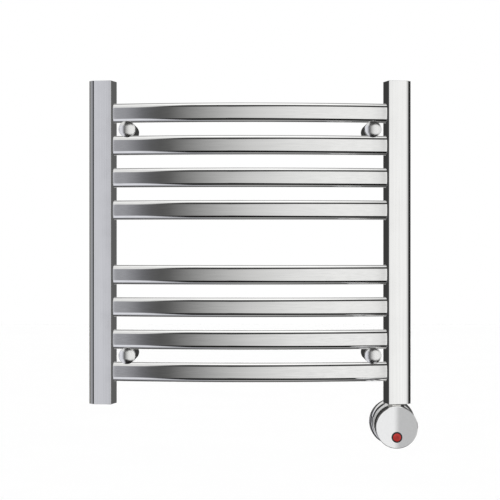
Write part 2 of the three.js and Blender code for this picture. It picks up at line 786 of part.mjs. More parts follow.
// One of the screws that hold the housing to the sleeve, driven from inside the housing.
function housingScrew() {
  const seat = housingRear - HOUSING_WALL - FIT_GAP;
  const tip = housingRear + SLEEVE_WEB;
  return turned([
    [0, seat - HOUSING_SCREW_HEAD],
    [HOUSING_SCREW_HEAD_RADIUS, seat - HOUSING_SCREW_HEAD],
    [HOUSING_SCREW_HEAD_RADIUS, seat],
    [HOUSING_SCREW_RADIUS, seat],
    [HOUSING_SCREW_RADIUS, tip],
    [0, tip],
  ], SMALL_ROUND_SIDES);
}

// ---- Push button ----

function buttonBezel() {
  return turnedRing([
    [bezelBore, headFront - BEZEL_LIP],
    [BEZEL_RADIUS, headFront - BEZEL_LIP],
    [BEZEL_RADIUS, headFront - FIT_GAP],
    [bezelBarrel, headFront - FIT_GAP],
    [bezelBarrel, bezelRear],
    [STEM_RADIUS + FIT_GAP, bezelRear],
    [STEM_RADIUS + FIT_GAP, bezelRear - BEZEL_WEB],
    [bezelBore, bezelRear - BEZEL_WEB],
  ], ROUND_SIDES);
}

function buttonCap() {
  const crown = domeProfile(BUTTON_RADIUS, buttonFront, BUTTON_CROWN, DOME_STEPS).reverse();
  const stemEnd = switchFront + SWITCH_SOCKET - BUTTON_TRAVEL - FIT_GAP;
  return turned([
    ...crown,
    [BUTTON_RADIUS, buttonRear],
    [STEM_RADIUS, buttonRear],
    [STEM_RADIUS, stemEnd],
    [0, stemEnd],
  ], ROUND_SIDES);
}

class CoilCurve extends THREE.Curve {
  constructor(radius, turns, length) {
    super();
    Object.assign(this, { radius, turns, length });
  }

  getPoint(t, target = new THREE.Vector3()) {
    const angle = 2 * Math.PI * this.turns * t;
    return target.set(this.radius * Math.cos(angle), this.length * t, this.radius * Math.sin(angle));
  }
}

function returnSpring() {
  const start = buttonRear + FIT_GAP + SPRING_WIRE;
  const end = bezelRear - BEZEL_WEB - FIT_GAP - SPRING_WIRE;
  const circle = new THREE.EllipseCurve(0, 0, SPRING_WIRE, SPRING_WIRE);
  const geometry = new THREE.ExtrudeGeometry(new THREE.Shape(circle.getPoints(WIRE_SIDES).slice(1)), {
    steps: SPRING_STEPS_PER_TURN * SPRING_TURNS,
    bevelEnabled: false,
    extrudePath: new CoilCurve(SPRING_RADIUS, SPRING_TURNS, end - start),
  });
  return solid(geometry, 0, start, 0);
}

function switchBody() {
  const halfWidth = SWITCH_WIDTH / 2;
  const halfHeight = SWITCH_HEIGHT / 2;
  const body = block(
    -halfWidth,
    halfWidth,
    switchFront,
    switchFront + SWITCH_DEPTH,
    -halfHeight,
    halfHeight,
  );
  const socket = roundAlongY(
    STEM_RADIUS + FIT_GAP,
    switchFront - CUT_OVERRUN,
    switchFront + SWITCH_SOCKET,
    SMALL_ROUND_SIDES,
  );
  return cut(body, [socket]);
}

function buttonGroup() {
  const group = new THREE.Group();
  group.position.z = -BUTTON_DROP;
  group.add(piece('button_bezel', buttonBezel(), blackPlastic()));
  group.add(piece('push_button', buttonCap(), redLens()));
  group.add(piece('button_return_spring', returnSpring(), satinSteel()));
  group.add(piece('switch_body', switchBody(), blackPlastic()));
  return group;
}

// ---- Circuit board and terminals ----

// A round board with a flat top that clears the element's lock nut.
function circuitBoard() {
  const disc = roundAlongY(BOARD_RADIUS, boardFront, boardRear, HEAD_SIDES);
  const top = block(
    -BOARD_RADIUS,
    BOARD_RADIUS,
    boardFront - CUT_OVERRUN,
    boardRear + CUT_OVERRUN,
    BOARD_TOP,
    BOARD_RADIUS + CUT_OVERRUN,
  );
  const clearance = HOUSING_SCREW_HEAD_RADIUS + FIT_GAP;
  const screwHoles = housingScrewPlaces().map(([x, z]) => roundAlongY(
    clearance,
    boardFront - CUT_OVERRUN,
    boardRear + CUT_OVERRUN,
    SMALL_ROUND_SIDES,
    x,
    z,
  ));
  return cut(disc, [top, ...screwHoles]);
}

function terminalBlock() {
  const rear = boardFront - FIT_GAP;
  const front = rear - TERMINAL_DEPTH;
  const half = TERMINAL_WIDTH / 2;
  const body = block(-half, half, front, rear, TERMINAL_RISE, TERMINAL_RISE + TERMINAL_HEIGHT);
  const wells = [];
  for (let i = 0; i < TERMINAL_WAYS; i += 1) {
    wells.push(roundAlongY(
      TERMINAL_SCREW_RADIUS,
      front - CUT_OVERRUN,
      front + TERMINAL_WELL_DEPTH,
      SMALL_ROUND_SIDES,
      ((i + 0.5) / TERMINAL_WAYS - 0.5) * TERMINAL_WIDTH,
      TERMINAL_RISE + TERMINAL_HEIGHT / 2,
    ));
  }
  return cut(body, wells);
}

function headGroup() {
  const group = new THREE.Group();
  group.position.set(headX, 0, headZ);
  group.add(piece('control_housing', controlHousing(), polishedChrome()));
  group.add(piece('control_front_plate', frontPlate(), polishedChrome()));
  group.add(piece('connection_sleeve', connectionSleeve(), polishedChrome()));
  group.add(piece('wall_flange', wallFlange(), polishedChrome()));
  group.add(piece('bridge_plate', bridgePlate(), satinSteel()));
  group.add(piece('sleeve_grub_screw', sleeveGrubScrew(), satinSteel()));
  group.add(piece('cable_grommet', cableGrommet(), blackRubber()));
  housingScrewPlaces().forEach(([x, z], i) => {
    const screw = piece(`housing_screw_${i + 1}`, housingScrew(), satinSteel());
    screw.position.set(x, 0, z);
    group.add(screw);
  });
  group.add(piece('circuit_board', circuitBoard(), greenBoard()));
  group.add(piece('terminal_block', terminalBlock(), greyPlastic()));
  group.add(buttonGroup());
  return group;
}

// ---- Assembly ----

function piece(name, manifold, material) {
  const mesh = new THREE.Mesh(geometryOf(manifold), material);
  mesh.name = name;
  return mesh;
}

function towelWarmer() {
  const group = new THREE.Group();
  group.add(postGroup(-1, 'left'));
  group.add(postGroup(1, 'right'));
  barHeights().forEach((z, i) => {
    const bar = piece(`bar_${i + 1}`, crossBar(), polishedChrome());
    bar.position.z = z;
    group.add(bar);
  });
  for (const [level, levelName] of [[1, 'upper'], [-1, 'lower']]) {
    for (const [side, sideName] of [[-1, 'left'], [1, 'right']]) {
      group.add(bracketGroup(side, level, `${levelName}_${sideName}`));
    }
  }
  group.add(elementGroup());
  group.add(headGroup());
  return group;
}

export default towelWarmer();
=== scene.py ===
"""A wall-hung towel warmer: its finer pieces, finishes, floor, light and camera.

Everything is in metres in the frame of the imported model: +X right, +Z up, the wall is the plane y = 0 and
the front faces -Y.
"""
import math

import bmesh
import bpy
from mathutils import Matrix, Vector


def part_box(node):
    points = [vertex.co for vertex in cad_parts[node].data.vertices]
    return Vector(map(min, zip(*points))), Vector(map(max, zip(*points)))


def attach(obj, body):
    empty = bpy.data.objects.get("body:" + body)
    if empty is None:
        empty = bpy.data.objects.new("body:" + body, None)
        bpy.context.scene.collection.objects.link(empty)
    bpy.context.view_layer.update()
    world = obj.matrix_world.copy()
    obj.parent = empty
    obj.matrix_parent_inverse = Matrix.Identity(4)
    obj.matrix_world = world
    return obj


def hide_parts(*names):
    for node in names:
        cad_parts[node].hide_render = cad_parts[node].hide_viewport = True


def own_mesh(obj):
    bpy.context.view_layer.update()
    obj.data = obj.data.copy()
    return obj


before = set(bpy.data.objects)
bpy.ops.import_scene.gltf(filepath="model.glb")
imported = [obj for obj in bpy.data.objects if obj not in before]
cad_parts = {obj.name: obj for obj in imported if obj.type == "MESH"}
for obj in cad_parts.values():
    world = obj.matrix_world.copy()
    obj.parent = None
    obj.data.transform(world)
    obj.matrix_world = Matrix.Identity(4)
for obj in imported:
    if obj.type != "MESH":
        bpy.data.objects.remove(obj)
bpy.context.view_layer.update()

MM = 1e-3
MICRON = 1e-6

# ---- Sizes ----

FIT_GAP = 0.3 * MM  # between pieces that fit into each other
CUT_OVERRUN = 2 * MM  # by which a cutter passes the face that it cuts
SEAM_RADIUS = 0.25 * MM  # on edges that are only broken

# Posts; the reach is how far the half ellipses at the outer corners run in from the outer side.
POST_WIDTH = 38 * MM
POST_DEPTH = 30 * MM
POST_WALL = 1.5 * MM
POST_OUTER_RADIUS = 10.5 * MM
POST_OUTER_REACH = 15 * MM
POST_EDGE_RADIUS = 0.5 * MM
POST_RIM_RADIUS = 0.4 * MM

# Bars; the setback is how far the end of a bar lies behind the middle of a post's inner face.
BAR_CHORD = 421 * MM
BAR_BOW_RADIUS = 936 * MM
BAR_INSERT = 5 * MM
BAR_SETBACK = 2 * MM
BAR_DEPTH = 14.5 * MM
BAR_EDGE_FLAT = 0.5 * MM
BAR_EDGE_RADIUS = (BAR_DEPTH - BAR_EDGE_FLAT) / 2
BAR_CROWN = 2 * MM
WELD_RADIUS = 0.25 * MM

# Wall brackets; bores and holes are radii, here and below.
STAND_OFF_BORE = 11 * MM
CAP_CROWN = 3.2 * MM
CAP_EDGE_RADIUS = 0.7 * MM
CLAMP_BOLT_HEAD = 4 * MM

# Control head; the lean of the flange's face is its angle from the wall, at its neck and at its rim.
PLATE_BEVEL = 0.8 * MM
PLATE_THICKNESS = 3 * MM
HOUSING_WALL = 2.2 * MM
SLEEVE_LENGTH = 28 * MM
SLEEVE_WEB = 3 * MM
SLEEVE_SPIGOT_WALL = 2.4 * MM
FLANGE_THICKNESS = 12 * MM
FLANGE_BEVEL = 0.5 * MM
FLANGE_SPREAD = 1.2 * MM
FLANGE_LEAN = (math.radians(31), math.radians(40))
FLANGE_TUBE_WALL = 2.5 * MM
# The black band round the flange's neck is painted shade in the corner where the neck meets the flange's
# face.
SHADE_BAND_WIDTH = 13 * MM
SHADE_BAND_DEPTH = 1 * MM
CABLE_HOLE = 7 * MM

# Heating element.
HEX_FLATS = 22 * MM
HEX_HEIGHT = 4 * MM
HEX_CHAMFER = 0.5 * MM
NECK_RADIUS = 7 * MM
NECK_SEAT_RADIUS = 13.6 * MM
NECK_SEAT_THICKNESS = 4 * MM
THREAD_RADIUS = 10.2 * MM
THREAD_PITCH = 1.8 * MM
THREAD_DEPTH = 0.9 * MM

# Push button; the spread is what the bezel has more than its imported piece.
BUTTON_THICKNESS = 4.5 * MM
BUTTON_CROWN = 1 * MM
BUTTON_EDGE_RADIUS = 0.35 * MM
BEZEL_LIP = 1.2 * MM
BEZEL_SPREAD = 0.4 * MM
BEZEL_EDGE_RADIUS = 0.8 * MM
BEZEL_WALL = 0.8 * MM
STEM_RADIUS = 2 * MM
SPRING_WIRE_RADIUS = 0.3 * MM
SPRING_TURNS = 3

# ---- Fineness of the meshes ----

ROUND_SIDES = 96
HEAD_SIDES = 192
NECK_SIDES = 64
BEZEL_HOLE_SIDES = 48
GRUB_HOLE_SIDES = 24
FILLET_STEPS = 6
CORNER_STEPS = 14
BOW_STEPS = 144
BAR_FACE_STEP = 0.8 * MM
DOME_STEPS = 24
SPRING_STEPS = 24
WIRE_SIDES = 10
HEX_EDGE_SEGMENTS = 2
SOFTEN_ANGLE = math.radians(35)
SHARP_ANGLE = math.radians(32)
FACE_AREA_WEIGHT = 75

# ---- Places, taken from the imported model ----


def middle(node):
    low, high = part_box(node)
    return (low + high) / 2


def extent(node):
    """The low corner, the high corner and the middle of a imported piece, and its radius if it is round."""
    low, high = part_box(node)
    return low, high, middle(node), (high.x - low.x) / 2


bar_names = [f"bar_{i + 1}" for i in range(8)]
bracket_names = [f"{level}_{side}" for level in ("upper", "lower") for side in ("left", "right")]
bar_low, bar_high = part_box(bar_names[0])
bar_height = bar_high.z - bar_low.z
bow_angle = math.asin(BAR_CHORD / 2 / BAR_BOW_RADIUS)
bar_half_angle = bow_angle + BAR_INSERT / BAR_BOW_RADIUS
bow_centre_y = bar_high.y + (BAR_BOW_RADIUS - BAR_DEPTH / 2) * math.cos(bar_half_angle)

post_half_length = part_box("right_post")[1].z
post_x = (BAR_BOW_RADIUS + BAR_SETBACK) * math.sin(bow_angle)
post_y = bow_centre_y - (BAR_BOW_RADIUS + BAR_SETBACK) * math.cos(bow_angle)

head_low, _, head_centre, head_radius = extent("control_front_plate")
head_front = head_low.y
housing_front = head_front + PLATE_THICKNESS
housing_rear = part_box("control_housing")[1].y

hex_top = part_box("element_washer")[0].z
hex_bottom = hex_top - HEX_HEIGHT

button_low, button_high, button_centre, button_radius = extent("push_button")
bezel_bore = button_radius + FIT_GAP
bezel_barrel = bezel_bore + BEZEL_WALL


# ---- Shader graphs ----

# The Mix node's sockets for colours.
FIRST_COLOUR = 6
SECOND_COLOUR = 7
MIXED_COLOUR = 2


class Value:
    """One output of a shader node; arithmetic on it adds Math nodes to the same graph."""

    def __init__(self, graph, socket):
        self.graph = graph
        self.socket = socket

    def maths(self, operation, *others):
        inputs = dict(enumerate((self, *others)))
        return self.graph.node("ShaderNodeMath", {"operation": operation}, inputs)

    def __add__(self, other):
        return self.maths("ADD", other)

    def __radd__(self, other):
        return self.maths("ADD", other)

    def __mul__(self, other):
        return self.maths("MULTIPLY", other)

    def __rmul__(self, other):
        return self.maths("MULTIPLY", other)

    def __sub__(self, other):
        return self.maths("SUBTRACT", other)

    def __rsub__(self, other):
        return self.graph.node("ShaderNodeMath", {"operation": "SUBTRACT"}, {0: other, 1: self})

    def __truediv__(self, other):
        return self.maths("DIVIDE", other)


class Graph:
    """The node graph of one material or of the world."""

    def __init__(self, owner):
        owner.use_nodes = True
        self.tree = owner.node_tree
        self.tree.nodes.clear()

    def node(self, kind, settings=None, inputs=None, output=0):
        """Adds a node, makes its settings, then fills or links its sockets; gives one of its outputs."""
        node = self.tree.nodes.new(kind)
        for name, setting in (settings or {}).items():
            if name == "stops":
                self.set_stops(node.color_ramp, setting)
            else:
                setattr(node, name, setting)
        for name, value in (inputs or {}).items():
            if isinstance(value, Value):
                self.tree.links.new(value.socket, node.inputs[name])
            else:
                node.inputs[name].default_value = value
        return Value(self, node.outputs[output]) if len(node.outputs) else None

    @staticmethod
    def set_stops(ramp, stops):
        for position, colour in stops[1:-1]:
            ramp.elements.new(position).color = colour
        for element, (position, colour) in ((ramp.elements[0], stops[0]), (ramp.elements[-1], stops[-1])):
            element.position = position
            element.color = colour

    def ramp(self, factor, stops):
        """A ramp of greys; a stop is (position, grey)."""
        coloured = [(position, solid_colour(grey)) for position, grey in stops]
        return self.node("ShaderNodeValToRGB", {"stops": coloured}, {0: factor})

    def mix(self, factor, first, second):
        """A mix of two colours."""
        inputs = {0: factor, FIRST_COLOUR: ready(first), SECOND_COLOUR: ready(second)}
        return self.node("ShaderNodeMix", {"data_type": "RGBA"}, inputs, MIXED_COLOUR)

    def noise(self, place, scale=1.0, detail=2.0, roughness=0.5):
        inputs = {"Vector": place, "Scale": scale, "Detail": detail, "Roughness": roughness}
        return self.node("ShaderNodeTexNoise", {}, inputs)

    def bump(self, height, depth=1.0, strength=1.0):
        """A normal that leans with height; depth is how far a height of 1 stands out, in metres."""
        inputs = {"Strength": strength, "Distance": depth, "Height": height}
        return self.node("ShaderNodeBump", {}, inputs)

    def place(self):
        """The shared frame's coordinates of a point of the surface, in metres."""
        return self.node("ShaderNodeTexCoord", {}, {}, "Object")

    def stretched(self, place, scale):
        """A vector or a colour multiplied along each of its three parts."""
        return self.node("ShaderNodeVectorMath", {"operation": "MULTIPLY"}, {0: place, 1: scale})

    def smooth(self, value, low, high):
        """Rises softly from 0 at low to 1 at high."""
        settings = {"interpolation_type": "SMOOTHSTEP"}
        inputs = {"Value": value, "From Min": low, "From Max": high}
        return self.node("ShaderNodeMapRange", settings, inputs)


def solid_colour(shade):
    return (*shade, 1) if isinstance(shade, tuple) else (shade, shade, shade, 1)


def ready(colour):
    return colour if isinstance(colour, Value) else solid_colour(colour)


def surface(graph, **sockets):
    """Closes a material with a Principled shader; its sockets are named with underscores for spaces."""
    inputs = {}
    for name, value in sockets.items():
        socket = name.replace("_", " ")
        inputs[socket] = ready(value) if socket in ("Base Color", "Emission Color") else value
    shader = graph.node("ShaderNodeBsdfPrincipled", {}, inputs)
    graph.node("ShaderNodeOutputMaterial", {}, {"Surface": shader})


# ---- Finishes ----

# Each colour as it is, and where it is dull or worn.
CHROME = (0.905, 0.908, 0.912)
CHROME_DULL = (0.835, 0.838, 0.843)
ZINC = (0.66, 0.67, 0.69)
ZINC_DULL = (0.56, 0.56, 0.57)
BRASS = (0.70, 0.56, 0.31)
BRASS_DULL = (0.60, 0.46, 0.24)
NICKEL = (0.86, 0.85, 0.83)
NICKEL_DULL = (0.76, 0.75, 0.73)
RUBBER = (0.028, 0.028, 0.029)
RUBBER_WORN = (0.045, 0.045, 0.046)
BLACK_PLASTIC = (0.012, 0.012, 0.013)
BLACK_PLASTIC_WORN = (0.018, 0.018, 0.019)
GREY_PLASTIC = (0.42, 0.43, 0.44)
GREY_PLASTIC_WORN = (0.48, 0.49, 0.50)

# The lens is painted paler at its rim than at its middle: painted light on the dome.
LENS_DARK_MIDDLE = (0.27, 0.010, 0.008)
LENS_LIT_RIM = (0.47, 0.026, 0.022)
LENS_RING = (0.52, 0.05, 0.04)
LENS_RINGS = 5
LENS_RING_SHARE = 0.25
LENS_CLOUD = 0.3

BOARD = (0.03, 0.16, 0.07)
BOARD_PALE = (0.05, 0.22, 0.10)
BOARD_TRACK = (0.10, 0.34, 0.17)

# Roughness, and how much a pattern adds to it.
STEEL_ROUGHNESS = 0.26
LENS_ROUGHNESS = 0.16
BOARD_ROUGHNESS = 0.35
HAZE_ROUGHNESS = 0.025
STEEL_GRAIN_ROUGHNESS = 0.16
MARKS_ROUGHNESS = 0.12
MOULD_ROUGHNESS = 0.12
CLOUD_ROUGHNESS = 0.1
WEAVE_ROUGHNESS = 0.2

# How the lines of a finish are packed along X, Y and Z: sparse along the stroke that left them.
STROKE_ALONG_BARS = (5, 400, 480)
STROKE_ALONG_POSTS = (950, 950, 4)
STROKE_ROUND = (900, 60, 900)
TURNING_MARKS = (60, 60, 2600)


def polished_chrome(
    name, stroke, line_height=0.2 * MICRON, wave_height=3 * MICRON, roughness=0.04, metallic=1.0
):
    """Chrome with slow waves and fine lines left by the polishing belt, and a faint haze."""
    material = bpy.data.materials.new(name)
    graph = Graph(material)
    place = graph.place()
    haze = graph.smooth(graph.noise(place, scale=28.0, detail=4.0, roughness=0.6), low=0.35, high=0.75)
    scratches = graph.noise(graph.stretched(place, stroke), detail=3.0, roughness=0.6)
    lines = graph.smooth(scratches, low=0.3, high=0.7)
    waves = graph.noise(place, scale=22.0, detail=1.0, roughness=0.4)
    surface(
        graph,
        Base_Color=graph.mix(lines, CHROME, CHROME_DULL),
        Metallic=metallic,
        Roughness=roughness + haze * HAZE_ROUGHNESS,
        Normal=graph.bump(waves * wave_height + lines * line_height),
    )
    return material


def satin_steel():
    """Zinc plated steel of the screws and bosses, with a fine grain."""
    material = bpy.data.materials.new("satin steel")
    graph = Graph(material)
    place = graph.place()
    grain = graph.noise(place, scale=900.0, detail=3.0, roughness=0.6)
    surface(
        graph,
        Base_Color=graph.mix(graph.noise(place, scale=60.0), ZINC, ZINC_DULL),
        Metallic=1.0,
        Roughness=STEEL_ROUGHNESS + grain * STEEL_GRAIN_ROUGHNESS,
        Normal=graph.bump(grain, depth=20 * MICRON, strength=0.3),
    )
    return material


def turned_brass(name, bright, dull, roughness):
    """Nickel plated or bare brass with turning marks."""
    material = bpy.data.materials.new(name)
    graph = Graph(material)
    place = graph.place()
    marks = graph.noise(graph.stretched(place, TURNING_MARKS))
    surface(
        graph,
        Base_Color=graph.mix(graph.noise(place, scale=90.0), bright, dull),
        Metallic=1.0,
        Roughness=roughness + marks * MARKS_ROUGHNESS,
        Normal=graph.bump(marks, depth=20 * MICRON, strength=0.4),
    )
    return material


def moulded(name, colour, worn, roughness, grain_size, gloss=0.5):
    """A moulded rubber or plastic with a fine tool grain."""
    material = bpy.data.materials.new(name)
    graph = Graph(material)
    place = graph.place()
    grain = graph.noise(place, scale=1 / grain_size, detail=3.0, roughness=0.6)
    surface(
        graph,
        Base_Color=graph.mix(graph.noise(place, scale=70.0), colour, worn),
        Roughness=roughness + grain * MOULD_ROUGHNESS,
        Specular_IOR_Level=gloss,
        Normal=graph.bump(grain, depth=50 * MICRON, strength=0.25),
    )
    return material


def red_lens(centre, radius):
    """Clear red moulding, painted paler at the rim than the middle, with fine rings in its rear face."""
    material = bpy.data.materials.new("red lens")
    graph = Graph(material)
    place = graph.place()
    offset = graph.node("ShaderNodeVectorMath", {"operation": "SUBTRACT"}, {0: place, 1: centre})
    flat = graph.stretched(offset, (1 / radius, 0, 1 / radius))
    reach = graph.node("ShaderNodeVectorMath", {"operation": "LENGTH"}, {0: flat}, "Value")
    rings = (reach * (2 * math.pi * LENS_RINGS)).maths("SINE") * 0.5 + 0.5
    cloud = graph.noise(place, scale=700.0, detail=3.0)
    # Painted light: the lens grows paler from its middle towards its rim.
    rim = graph.smooth(reach + cloud * LENS_CLOUD, low=0.2, high=1.1)
    surface(
        graph,
        Base_Color=graph.mix(rings * LENS_RING_SHARE, graph.mix(rim, LENS_DARK_MIDDLE, LENS_LIT_RIM), LENS_RING),
        Roughness=LENS_ROUGHNESS + cloud * CLOUD_ROUGHNESS,
        Specular_IOR_Level=0.2,
        Coat_Weight=0.3,
        Coat_Roughness=0.05,
        Normal=graph.bump(rings, depth=80 * MICRON, strength=0.2),
    )
    return material


def circuit_board_green():
    """Solder mask over glass fibre, with tracks showing as paler lines."""
    material = bpy.data.materials.new("board green")
    graph = Graph(material)
    place = graph.place()
    weave = graph.noise(place, scale=1800.0)
    inputs = {"Vector": place, "Scale": 90.0, "Mortar Size": 0.06}
    tracks = graph.node("ShaderNodeTexBrick", {"offset": 0.4}, inputs, "Fac")
    surface(
        graph,
        Base_Color=graph.mix(tracks, graph.mix(weave, BOARD, BOARD_PALE), BOARD_TRACK),
        Roughness=BOARD_ROUGHNESS + weave * WEAVE_ROUGHNESS,
    )
    return material


chrome_along_x = polished_chrome(
    "chrome polished along the bars", STROKE_ALONG_BARS, line_height=0.4 * MICRON, wave_height=5 * MICRON
)
chrome_along_z = polished_chrome(
    "chrome polished along the posts", STROKE_ALONG_POSTS, line_height=0.3 * MICRON, wave_height=3 * MICRON
)
chrome_turned = polished_chrome("chrome polished on the lathe", STROKE_ROUND)
chrome_buffed = polished_chrome("chrome buffed by hand", STROKE_ROUND, roughness=0.17)
satin_chrome = polished_chrome("satin chrome", STROKE_ROUND, roughness=0.4, metallic=0.5)
steel = satin_steel()
brass = turned_brass("turned brass", BRASS, BRASS_DULL, roughness=0.20)
plated_brass = turned_brass("plated brass", NICKEL, NICKEL_DULL, roughness=0.02)
rubber = moulded("black rubber", RUBBER, RUBBER_WORN, 0.6, grain_size=0.4 * MM, gloss=0.0)
plastic = moulded("black plastic", BLACK_PLASTIC, BLACK_PLASTIC_WORN, 0.18, grain_size=0.9 * MM)
grey_plastic = moulded("terminal grey", GREY_PLASTIC, GREY_PLASTIC_WORN, 0.45, grain_size=0.5 * MM)
board_green = circuit_board_green()


# ---- Meshes ----


def piece_from(name, bm):
    """An object from a finished bmesh, its faces pointing out."""
    bmesh.ops.recalc_face_normals(bm, faces=bm.faces)
    mesh = bpy.data.meshes.new(name)
    bm.to_mesh(mesh)
    bm.free()
    piece = bpy.data.objects.new(name, mesh)
    bpy.context.scene.collection.objects.link(piece)
    return piece


def rounded(corners, closed=True, steps=FILLET_STEPS):
    """A path of straight runs with rounded corners; each corner is (u, v, radius)."""
    path = []
    for i, (u, v, radius) in enumerate(corners):
        corner = Vector((u, v))
        if radius == 0 or (not closed and i in (0, len(corners) - 1)):
            path.append(corner)
            continue
        before = (Vector(corners[i - 1][:2]) - corner).normalized()
        after = (Vector(corners[(i + 1) % len(corners)][:2]) - corner).normalized()
        half = before.angle(after) / 2
        centre = corner + (before + after).normalized() * (radius / math.sin(half))
        start = corner + before * (radius / math.tan(half)) - centre
        end = corner + after * (radius / math.tan(half)) - centre
        turn = start.angle(end)
        for step in range(steps + 1):
            share = step / steps
            point = start * math.sin((1 - share) * turn) + end * math.sin(share * turn)
            path.append(centre + point / math.sin(turn))
    return path


def circle(centre, first, second, radius, sides):
    """Points round a circle in the plane of two directions that are square to each other."""
    points = []
    for i in range(sides):
        angle = 2 * math.pi * i / sides
        points.append(centre + (first * math.cos(angle) + second * math.sin(angle)) * radius)
    return points


def dome(radius, rim, crown, steps=DOME_STEPS):
    """Points of a shallow dome from its middle out to its rim, the middle nearest the viewer."""
    sphere = (radius**2 + crown**2) / (2 * crown)
    half = math.asin(radius / sphere)
    points = []
    for i in range(steps + 1):
        angle = half * i / steps
        points.append((sphere * math.sin(angle), rim - crown + sphere * (1 - math.cos(angle))))
    return points


def domed(radius, rim, crown, edge, behind):
    """A profile with a domed front that runs through a rounded edge into the corners behind it."""
    front = dome(radius - edge / 2, rim, crown)
    side = rounded([(*front[-2], 0), (radius, rim, edge), *behind], closed=False)
    return front[:-2] + side


def turned(name, profile, centre, sides=ROUND_SIDES, closed=False, along="Y"):
    """A body of revolution about an axis through centre; its profile is a path of (radius, level)."""
    bm = bmesh.new()
    rings = []
    for radius, level in profile:
        count = sides if radius > 0 else 1
        ring = []
        for i in range(count):
            angle = 2 * math.pi * i / sides
            across, up = radius * math.cos(angle), radius * math.sin(angle)
            point = (centre.x + across, level, centre.z + up)
            if along == "Z":
                point = (centre.x + across, centre.y + up, level)
            ring.append(bm.verts.new(point))
        rings.append(ring)
    following = rings[1:] + rings[:1] if closed else rings[1:]
    for low, high in zip(rings, following):
        for i in range(sides):
            k = i + 1
            corners = [low[i % len(low)], low[k % len(low)], high[k % len(high)], high[i % len(high)]]
            distinct = list(dict.fromkeys(corners))
            if len(distinct) > 2:
                bm.faces.new(distinct)
    return piece_from(name, bm)


def rod(name, radius, low, high, centre, sides=ROUND_SIDES, along="Y"):
    """A plain round solid, or a prism, from one level to another."""
    return turned(name, [(0, low), (radius, low), (radius, high), (0, high)], centre, sides, along=along)


def lofted(name, rings, closed=False):
    """A skin over rings with the same number of points; it closes on its first or ends in flat caps."""
    bm = bmesh.new()
    rows = [[bm.verts.new(point) for point in ring] for ring in rings]
    count = len(rows[0])
    following = rows[1:] + rows[:1] if closed else rows[1:]
    for low, high in zip(rows, following):
        for j in range(count):
            k = (j + 1) % count
            bm.faces.new((low[j], low[k], high[k], high[j]))
    if not closed:
        bm.faces.new(reversed(rows[0]))
        bm.faces.new(rows[-1])
    return piece_from(name, bm)


def settle(piece):
    """Makes a piece's modifiers part of its mesh."""
    graph = bpy.context.evaluated_depsgraph_get()
    finished = bpy.data.meshes.new_from_object(piece.evaluated_get(graph))
    piece.modifiers.clear()
    piece.data = finished


def carve(piece, cutters, operation="DIFFERENCE"):
    """Cuts a piece by other solids, which are used up."""
    for cutter in cutters:
        change = piece.modifiers.new("carve", "BOOLEAN")
        change.operation = operation
        change.solver = "EXACT"
        change.object = cutter
    settle(piece)
    for cutter in cutters:
        bpy.data.objects.remove(cutter)
    return piece


def soften(piece, width, segments):
    """Breaks the sharp edges of a piece."""
    bevel = piece.modifiers.new("soften", "BEVEL")
    bevel.width = width
    bevel.segments = segments
    bevel.limit_method = "ANGLE"
    bevel.angle_limit = SOFTEN_ANGLE
    bevel.use_clamp_overlap = True
    settle(piece)


def dress(piece, material, slot, *nodes, body="rack", mirrored=True):
    """Gives a piece its finish and shading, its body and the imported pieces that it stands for.

    A piece that isn't mirrored stays out of the mirror images in metal, but it still casts shadows.
    """
    mesh = piece.data
    for face in mesh.polygons:
        face.use_smooth = True
    mesh.set_sharp_from_angle(angle=SHARP_ANGLE)
    weighted = piece.modifiers.new("even shading", "WEIGHTED_NORMAL")
    weighted.mode = "FACE_AREA"
    weighted.weight = FACE_AREA_WEIGHT
    weighted.keep_sharp = True
    mesh.materials.clear()
    mesh.materials.append(material)
    piece.visible_glossy = mirrored
    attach(piece, body)
    if nodes:
        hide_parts(*nodes)


# ---- Posts ----


def post_outline(side, inset=0.0):
    """The section of a post in its own frame: inner face at x = 0, outer side of two half ellipses."""
    half = POST_DEPTH / 2 - inset
    inner = side * inset
    outer = side * (POST_WIDTH - inset)
    edge = max(POST_EDGE_RADIUS - inset, FIT_GAP)
    corner = max(POST_OUTER_RADIUS - inset, FIT_GAP)
    corners = [(inner, -half, edge), (outer, -half, corner), (outer, half, corner), (inner, half, edge)]
    outline = []
    for u, v in rounded(corners, steps=CORNER_STEPS):
        if abs(outer - u) <= corner:
            u = outer - (outer - u) * POST_OUTER_REACH / POST_OUTER_RADIUS
        outline.append(Vector((u, v)))
    return outline


def post_frame(side):
    """A post stands square to the ends of the bars."""
    return Matrix.Translation((side * post_x, post_y, 0)) @ Matrix.Rotation(side * bow_angle, 4, "Z")


def ring_at(outline, z, placed):
    return [placed @ Vector((point.x, point.y, z)) for point in outline]


def rim_levels(half_length, radius, steps=FILLET_STEPS):
    """(inset, height) of a quarter round at the end of a post, from its side to its end face."""
    levels = []
    for i in range(steps + 1):
        angle = math.pi / 2 * i / steps
        levels.append((radius * (1 - math.cos(angle)), half_length - radius * (1 - math.sin(angle))))
    return levels


def post_tube(side, name):
    placed = post_frame(side)
    rim = rim_levels(post_half_length, POST_RIM_RADIUS)
    outside = [(inset, -z) for inset, z in reversed(rim)] + rim
    inside = [(POST_WALL, post_half_length), (POST_WALL, -post_half_length)]
    rings = [ring_at(post_outline(side, inset), z, placed) for inset, z in outside + inside]
    return lofted(f"{name}_post_tube", rings, closed=True)


def end_plate(side, name, low, high):
    """A plate set into the end of a post, its outer edge rounded over."""
    placed = post_frame(side)
    seat = POST_WALL + FIT_GAP / 2
    rim = rim_levels(max(abs(low), abs(high)), POST_RIM_RADIUS)
    sign = 1 if high > 0 else -1
    inner_level = low if high > 0 else high
    levels = [(0, inner_level)] + [(inset, sign * z) for inset, z in rim]
    rings = [ring_at(post_outline(side, seat + inset), z, placed) for inset, z in levels]
    return lofted(name, rings)


